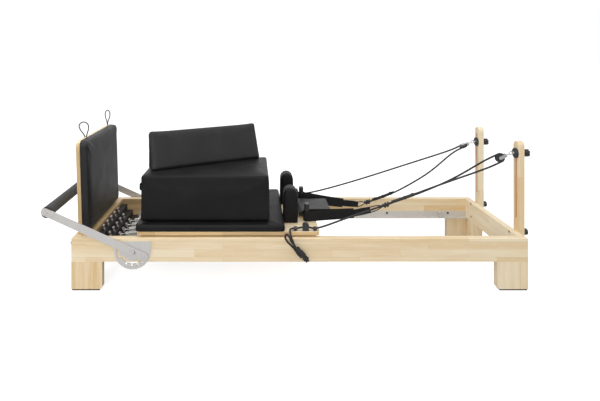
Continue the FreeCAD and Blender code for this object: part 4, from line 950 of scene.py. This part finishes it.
class REFORMER_OT_hanging_loops(bpy.types.Operator):
    """Make the two thin loops on top of the jump board"""

    bl_idname = "reformer.hanging_loops"
    bl_label = "Jump board loops"

    def execute(self, context):
        radius = settings("cord").loop_diameter / 2
        seat = Vector((JUMP_FOOT_X - JUMP_HEIGHT * math.sin(JUMP_LEAN) - LOOP_SETBACK, 0,
                       RAIL_TOP + JUMP_HEIGHT * math.cos(JUMP_LEAN) + LOOP_LIFT))
        for name, y, route in (("front", -170.0, FRONT_LOOP), ("back", 224.0, BACK_LOOP)):
            points = [at(*(seat + Vector((0, y, 0)) + Vector(point))) for point in route]
            curve = spline("hanging_loop_" + name, points, radius)
            long = line_length(curve)
            loop = piece("hanging_loop_" + name, curve, "jumpboard",
                         woven_cord("loop_braid_" + name, long / LOOP_BRAID))
            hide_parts("jumpboard_loops")
        return {"FINISHED"}


class REFORMER_OT_cushions(bpy.types.Operator):
    """Upholster the mat, box, wedge, headrest, shoulder rests and jump board"""

    bl_idname = "reformer.cushions"
    bl_label = "Cushions"

    def execute(self, context):
        # Paler copies of the black cover for the wedge and headrest: painted light on their upturned faces.
        covers = {"wedge_cover": coated_fabric("coated_fabric_wedge_painted_light", 2.2, 0.24),
                  "headrest_cover": coated_fabric("coated_fabric_headrest_painted_light", 2.0, 0.34),
                  "jump_pad_cover": coated_fabric("coated_fabric_jump", 1.0, 0.36)}
        self.mat()
        self.long_box()
        self.wedge()
        self.headrest()
        for side in ("front", "back"):
            self.shoulder_rest(side)
        self.jump_pad()
        fill_cushions(covers, coated_fabric("coated_fabric"))
        return {"FINISHED"}

    def corners(self, node):
        return [Vector(corner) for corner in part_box(node)]

    def mat(self):
        low, high = self.corners("carriage_mat")
        bm = block(low, high, (0.002, 0.002), 0.002)
        bevel(bm, along_edges(bm, Z_AXIS), 0.022, 6)
        bevel(bm, edges_beyond(bm, 2, high.z - 0.004), 0.008, 4)
        Cushion("carriage_mat_cover", bm, "carriage", ["carriage_mat"], 0.008, 0.95,
                low - X_AXIS * 0.007, high + X_AXIS * 0.001,
                lambda c: c.z < low.z + 0.004, swell=0.003)

    def long_box(self):
        low, high = self.corners("long_box")
        bm = block(low, high, (0.003, 0.003), 0.001)
        bevel(bm, list(bm.edges), 0.008, 3)
        low, high = low - Vector((0.006, 0.005, 0)), high + Vector((0.005, 0.004, 0.003))
        Cushion("long_box_cover", bm, "long_box", ["long_box"], 0.008, 0.95, low, high,
                lambda c: c.z < low.z + 0.004, swell=0.003)

    def wedge(self):
        low, high = self.corners("wedge_cushion")
        bm = bmesh.new()
        outline = [(0, 0.002, 0), (0, 0.078, 0), (0, 0.089, 0.203), (0, 0.068, 0.203)]
        face = bm.faces.new([bm.verts.new(point) for point in outline])
        moved_part(bm, bmesh.ops.extrude_face_region(bm, geom=[face])["geom"], (WEDGE_LENGTH, 0, 0))
        bmesh.ops.recalc_face_normals(bm, faces=bm.faces)
        bevel(bm, list(bm.edges), 0.016, 5)
        corner = at(*WEDGE_CORNER)
        corner.z = low.z
        place = (Matrix.Translation(corner) @ Matrix.Rotation(WEDGE_TURN, 4, "Z")
                 @ Matrix.Translation((0.002, 0, 0)))
        Cushion("wedge_cover", bm, "wedge_cushion", ["wedge_cushion"], 0.006, 0.9,
                Vector((-0.005, -0.001, 0.0)), Vector((0.679, 0.094, 0.210)), lambda c: c.z < 0.003,
                swell=0.005, turn=place)

    def headrest(self):
        low, high = self.corners("headrest_pad")
        bm = block(low, high, (0.002, 0.002), 0.002)
        bevel(bm, along_edges(bm, Y_AXIS, lambda c: c.z > high.z - 0.005 and c.x < low.x + 0.01), 0.014, 5)
        bevel(bm, along_edges(bm, Z_AXIS, lambda c: c.x > low.x + 0.1), 0.015, 6)
        bevel(bm, [e for e in edges_beyond(bm, 2, high.z - 0.004)
                   if max(v.co.x for v in e.verts) > low.x + 0.03], 0.006, 3)
        Cushion("headrest_cover", bm, "headrest", ["headrest_pad"], 0.005, 0.9, low,
                high + Vector((0.006, 0.0, 0.003)),
                lambda c: c.z < low.z + 0.003, swell=0.004)

    def shoulder_rest(self, side):
        low, high = self.corners("shoulder_rest_" + side)
        low.z = 0.3003
        bm = block(low, high, (0.0015, 0.002), 0.004)
        bevel(bm, along_edges(bm, Y_AXIS, lambda c: c.z > low.z + 0.05), 0.0360, 10)
        rim = [e for e in edges_beyond(bm, 2, low.z + 0.001)
               if e.calc_face_angle(0) > 1.2 and abs(e.verts[0].co.y - e.verts[1].co.y) < 1e-5]
        bevel(bm, rim, 0.012, 4)
        Cushion("shoulder_rest_cover_" + side, bm, "shoulder_rest_" + side, ["shoulder_rest_" + side], 0.005,
                0.9, low - X_AXIS * 0.003, high + Vector((0.003, 0.0, 0.006)),
                lambda c: c.z < low.z + 0.003, swell=0.004)
        self.rest_pins(side, low, high)

    def rest_pins(self, side, low, high):
        """The two dowels that seat a shoulder rest in the carriage board."""
        pins = []
        middle = (low + high) / 2
        for reach in (-0.022, 0.022):
            bm = bmesh.new()
            bmesh.ops.create_circle(bm, cap_ends=True, segments=24, radius=0.006)
            moved_part(bm, bmesh.ops.extrude_face_region(bm, geom=list(bm.faces))["geom"], (0, 0, 0.05))
            bmesh.ops.translate(bm, vec=(middle.x, middle.y + reach, 0.282), verts=bm.verts)
            pins.append(mesh_from(bm, "pin"))
        name = "shoulder_rest_pins_" + side
        piece(name, joined(name, pins), "shoulder_rest_" + side,
              bright_metal("pin_steel_" + side), smooth=False)

    def jump_pad(self):
        seam = at(JUMP_FOOT_X, 0, RAIL_TOP)
        bm = block(Vector((0.0, -0.283, 0.006)), Vector((0.037, 0.283, 0.493)))
        bevel(bm, along_edges(bm, X_AXIS), 0.032, 8)
        bevel(bm, edges_beyond(bm, 0, 0.036), 0.015, 6)
        place = Matrix.Translation(seam) @ Matrix.Rotation(-JUMP_LEAN, 4, "Y")
        Cushion("jump_pad_cover", bm, "jumpboard", ["jumpboard_pad"], 0.006, 0.95,
                Vector((0.0003, -0.285, 0.005)), Vector((0.044, 0.289, 0.500)), lambda c: c.x < 0.002,
                swell=0.005, turn=place)


class REFORMER_OT_box_handle(bpy.types.Operator):
    """Sew the carrying handle on the end of the box"""

    bl_idname = "reformer.box_handle"
    bl_label = "Box handle"

    def execute(self, context):
        low, high = (Vector(corner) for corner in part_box("long_box"))
        middle, z = low.y + 0.150, low.z + 0.148
        route = [(0.0035, -0.080), (-0.002, -0.074), (-0.012, -0.060), (-0.034, -0.036), (-0.045, 0.0),
                 (-0.034, 0.036), (-0.012, 0.060), (-0.002, 0.074), (0.0035, 0.080)]
        bm = ribbon([(low.x + x, middle + y) for x, y in route], z - 0.014, 0.0047, 6)
        handle = piece("box_handle", mesh_from(bm, "box_handle"), "long_box",
                       webbing("webbing_handle"))
        thicken(handle, 2)
        return {"FINISHED"}


class REFORMER_OT_springs(bpy.types.Operator):
    """Wind the five carriage springs and bend their end hooks"""

    bl_idname = "reformer.springs"
    bl_label = "Springs"

    def execute(self, context):
        spring = settings("springs")
        steel = bright_metal("spring_wire", (0.78, 0.76, 0.73, 1), 0.24)
        tilt = math.radians(19)
        lean = Vector((-math.sin(tilt), 0, math.cos(tilt)))
        eye = at(-1021, 0, 195) - lean * 0.0075
        anchor = at(-430, 0, 250)
        toward = (anchor - eye).normalized()
        start, end = eye + toward * 0.034, anchor - toward * 0.034
        one = joined("winding", [self.coil(spring, start, end), self.hook(eye, lean, toward, start, 0.0063),
                                 self.hook(anchor, Y_AXIS, -toward, end, 0.0096)])
        for index in range(5):
            data = one.copy()
            data.transform(Matrix.Translation((0, (index - 2) * 0.070, 0)))
            winding = piece(f"spring_{index + 1}", data, "carriage", steel)
            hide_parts("carriage_springs")
        return {"FINISHED"}

    def coil(self, spring, start, end):
        """A close-wound coil: a few turns spun from the wire's section, repeated end to end."""
        axis = end - start
        turns = round(axis.length / (2.08 * spring.wire_radius))
        few = 9
        repeats = round(turns / few)
        rise = axis.length / repeats
        bm = bmesh.new()
        bmesh.ops.create_circle(bm, cap_ends=False, segments=6, radius=spring.wire_radius)
        bmesh.ops.rotate(bm, cent=(0, 0, 0), matrix=Matrix.Rotation(math.radians(90), 3, "X"), verts=bm.verts)
        bmesh.ops.translate(bm, vec=(spring.coil_radius - spring.wire_radius, 0, 0), verts=bm.verts)
        steps = few * spring.turn_steps
        bmesh.ops.spin(bm, geom=list(bm.verts) + list(bm.edges), cent=(0, 0, 0), axis=(0, 0, 1),
                       dvec=(0, 0, rise / steps), angle=few * math.tau, steps=steps, use_merge=False,
                       use_duplicate=False)
        holder = linked("coil", mesh_from(bm, "coil"))
        array = holder.modifiers.new("Turns", "ARRAY")
        array.count = repeats
        array.use_relative_offset = False
        array.use_constant_offset = True
        array.constant_offset_displace = (0, 0, rise)
        array.use_merge_vertices = True
        array.merge_threshold = 0.0002
        whole = bmesh.new()
        whole.from_mesh(spent(holder))
        bmesh.ops.holes_fill(whole, edges=[edge for edge in whole.edges if edge.is_boundary], sides=8)
        data = mesh_from(whole, "coil")
        data.transform(Matrix.Translation(start) @ axis.to_track_quat("Z", "Y").to_matrix().to_4x4())
        return data

    def hook(self, centre, axis, away, root, ring):
        """The end of the wire: out of the coil, then once round the stud or the bar."""
        side = away.cross(axis).normalized()
        ahead = axis.cross(side).normalized()
        if ahead.dot(away) < 0:
            ahead, side = -ahead, -side
        points = [root, centre + (root - centre) * 0.62, centre + ahead * ring * 1.5]
        for step in range(8):
            angle = math.radians(25) + EIGHTH_TURN * step
            points.append(centre + (ahead * math.cos(angle) + side * math.sin(angle)) * ring * 1.05)
        return rod_mesh("hook", points, 0.0019)


class REFORMER_OT_finishes(bpy.types.Operator):
    """Give every fixed piece of the frame its finish"""

    bl_idname = "reformer.finishes"
    bl_label = "Finishes"

    def execute(self, context):
        silver, bright = painted_silver("satin_silver"), bright_metal("bright_steel")
        plastic = moulded_black("black_plastic")
        steel, ink = ((0.62, 0.62, 0.62, 1), 1.0, 0.24), ((0.016, 0.016, 0.017, 1), 0.0, 0.45)
        plug = ((0.40, 0.24, 0.11, 1), 0.0, 0.5)
        repaint(timber("rail_timber", 0), "side_rail_front")
        # The rear rail's faces along its width get painted shade, more towards the foot end.
        repaint(timber("rear_rail_timber", 0, 0.02, 1, 0.22, 1.0), "side_rail_back")
        # The board's edges are darker: darker edge grain and painted shade.
        repaint(timber("board_timber", 0, 0.05, 1, 1.0), "carriage_board", "carriage_bearers",
                "headrest_board")
        # The head end rail is paler: partly its own tone, partly painted light on its inner face.
        repaint(timber("head_rail_timber", 1, -0.22), "head_end_rail")
        repaint(timber("foot_rail_timber", 1, 0.22), "foot_end_rail")
        repaint(timber("foot_platform_timber", 1, 0.75), "foot_platform")
        repaint(timber("leg_foot_timber", 2, 0.42), *both("leg_foot"))
        repaint(timber("leg_head_timber", 2, -0.02), *both("leg_head"))
        # The jump board's edges are darker: darker edge grain and painted shade.
        repaint(timber("jumpboard_timber", 2, 0.05, 1, 0.95), "jumpboard_panel")
        repaint(slotted_timber("riser_front_timber", 0.26), "riser_front")
        repaint(slotted_timber("riser_back_timber", 0.0), "riser_back")
        repaint(silver, *both("footbar_arm"), *both("quadrant_plate"), "carriage_stops")
        repaint(painted_silver("anodised_track", (0.68, 0.655, 0.62, 1), 0.34), *both("track"))
        repaint(bright, "footbar_pivots", "footbar_tube", "jumpboard_pins", "spring_anchor", "headrest_hinge")
        repaint(painted_silver("satin_studs", (0.40, 0.37, 0.33, 1), 0.30), "spring_studs")
        repaint(plastic, "riser_knobs", *both("pulley_sheave"), *both("pulley_knob"), "rope_cleats")
        repaint(two_part("bracket_finish", steel, ink, 0, 1.2362), *both("pulley_bracket"))
        repaint(two_part("grip_end_finish", ink, steel, 1, 0.350, both_ends=True), "footbar_caps")
        repaint(two_part("bolt_finish", ink, plug, 0, 1.18), "frame_bolts")
        repaint(two_part("peg_finish", ink, ((0.10, 0.10, 0.10, 1), 0.0, 0.35), 2, 0.3935), "strap_pegs")
        repaint(moulded_black("black_bars", (0.014, 0.014, 0.015, 1), 0.5, 400.0), "spring_bars")
        repaint(moulded_black("wheel_tread", (0.022, 0.022, 0.023, 1), 0.5, 500.0),
                *both("wheel_foot"), *both("wheel_head"))
        repaint(moulded_black("foot_rubber", (0.02, 0.02, 0.021, 1), 0.7, 700.0, 0.0004), "foot_pads")
        repaint(cell_foam("grip_foam"), "footbar_foam")
        return {"FINISHED"}


class REFORMER_PT_panel(bpy.types.Panel):
    bl_label = "Reformer"
    bl_idname = "REFORMER_PT_panel"
    bl_space_type = "VIEW_3D"
    bl_region_type = "UI"
    bl_category = "Reformer"

    def draw(self, context):
        for group, kind in GROUPS.items():
            box = self.layout.box()
            for key in kind.__annotations__:
                box.prop(settings(group), key)
        for operator in OPERATORS:
            self.layout.operator(operator.bl_idname)


GROUPS = {"timber": TimberSettings, "upholstery": UpholsterySettings, "cord": CordSettings,
          "springs": SpringSettings, "studio": StudioSettings}
OPERATORS = (REFORMER_OT_stage, REFORMER_OT_ropes, REFORMER_OT_hanging_loops, REFORMER_OT_handle_straps,
             REFORMER_OT_cushions, REFORMER_OT_box_handle, REFORMER_OT_springs, REFORMER_OT_finishes)


def register():
    for name, kind in GROUPS.items():
        bpy.utils.register_class(kind)
        setattr(bpy.types.Scene, "reformer_" + name, PointerProperty(type=kind))
    for kind in OPERATORS + (REFORMER_PT_panel,):
        bpy.utils.register_class(kind)


def unregister():
    for kind in reversed(OPERATORS + (REFORMER_PT_panel,)):
        bpy.utils.unregister_class(kind)
    for name, kind in GROUPS.items():
        delattr(bpy.types.Scene, "reformer_" + name)
        bpy.utils.unregister_class(kind)


def main():
    register()
    bpy.ops.reformer.stage()
    bpy.ops.reformer.ropes()
    bpy.ops.reformer.hanging_loops()
    bpy.ops.reformer.handle_straps()
    bpy.ops.reformer.cushions()
    bpy.ops.reformer.box_handle()
    bpy.ops.reformer.springs()
    bpy.ops.reformer.finishes()
    bpy.context.view_layer.update()


if __name__ == "__main__":
    main()
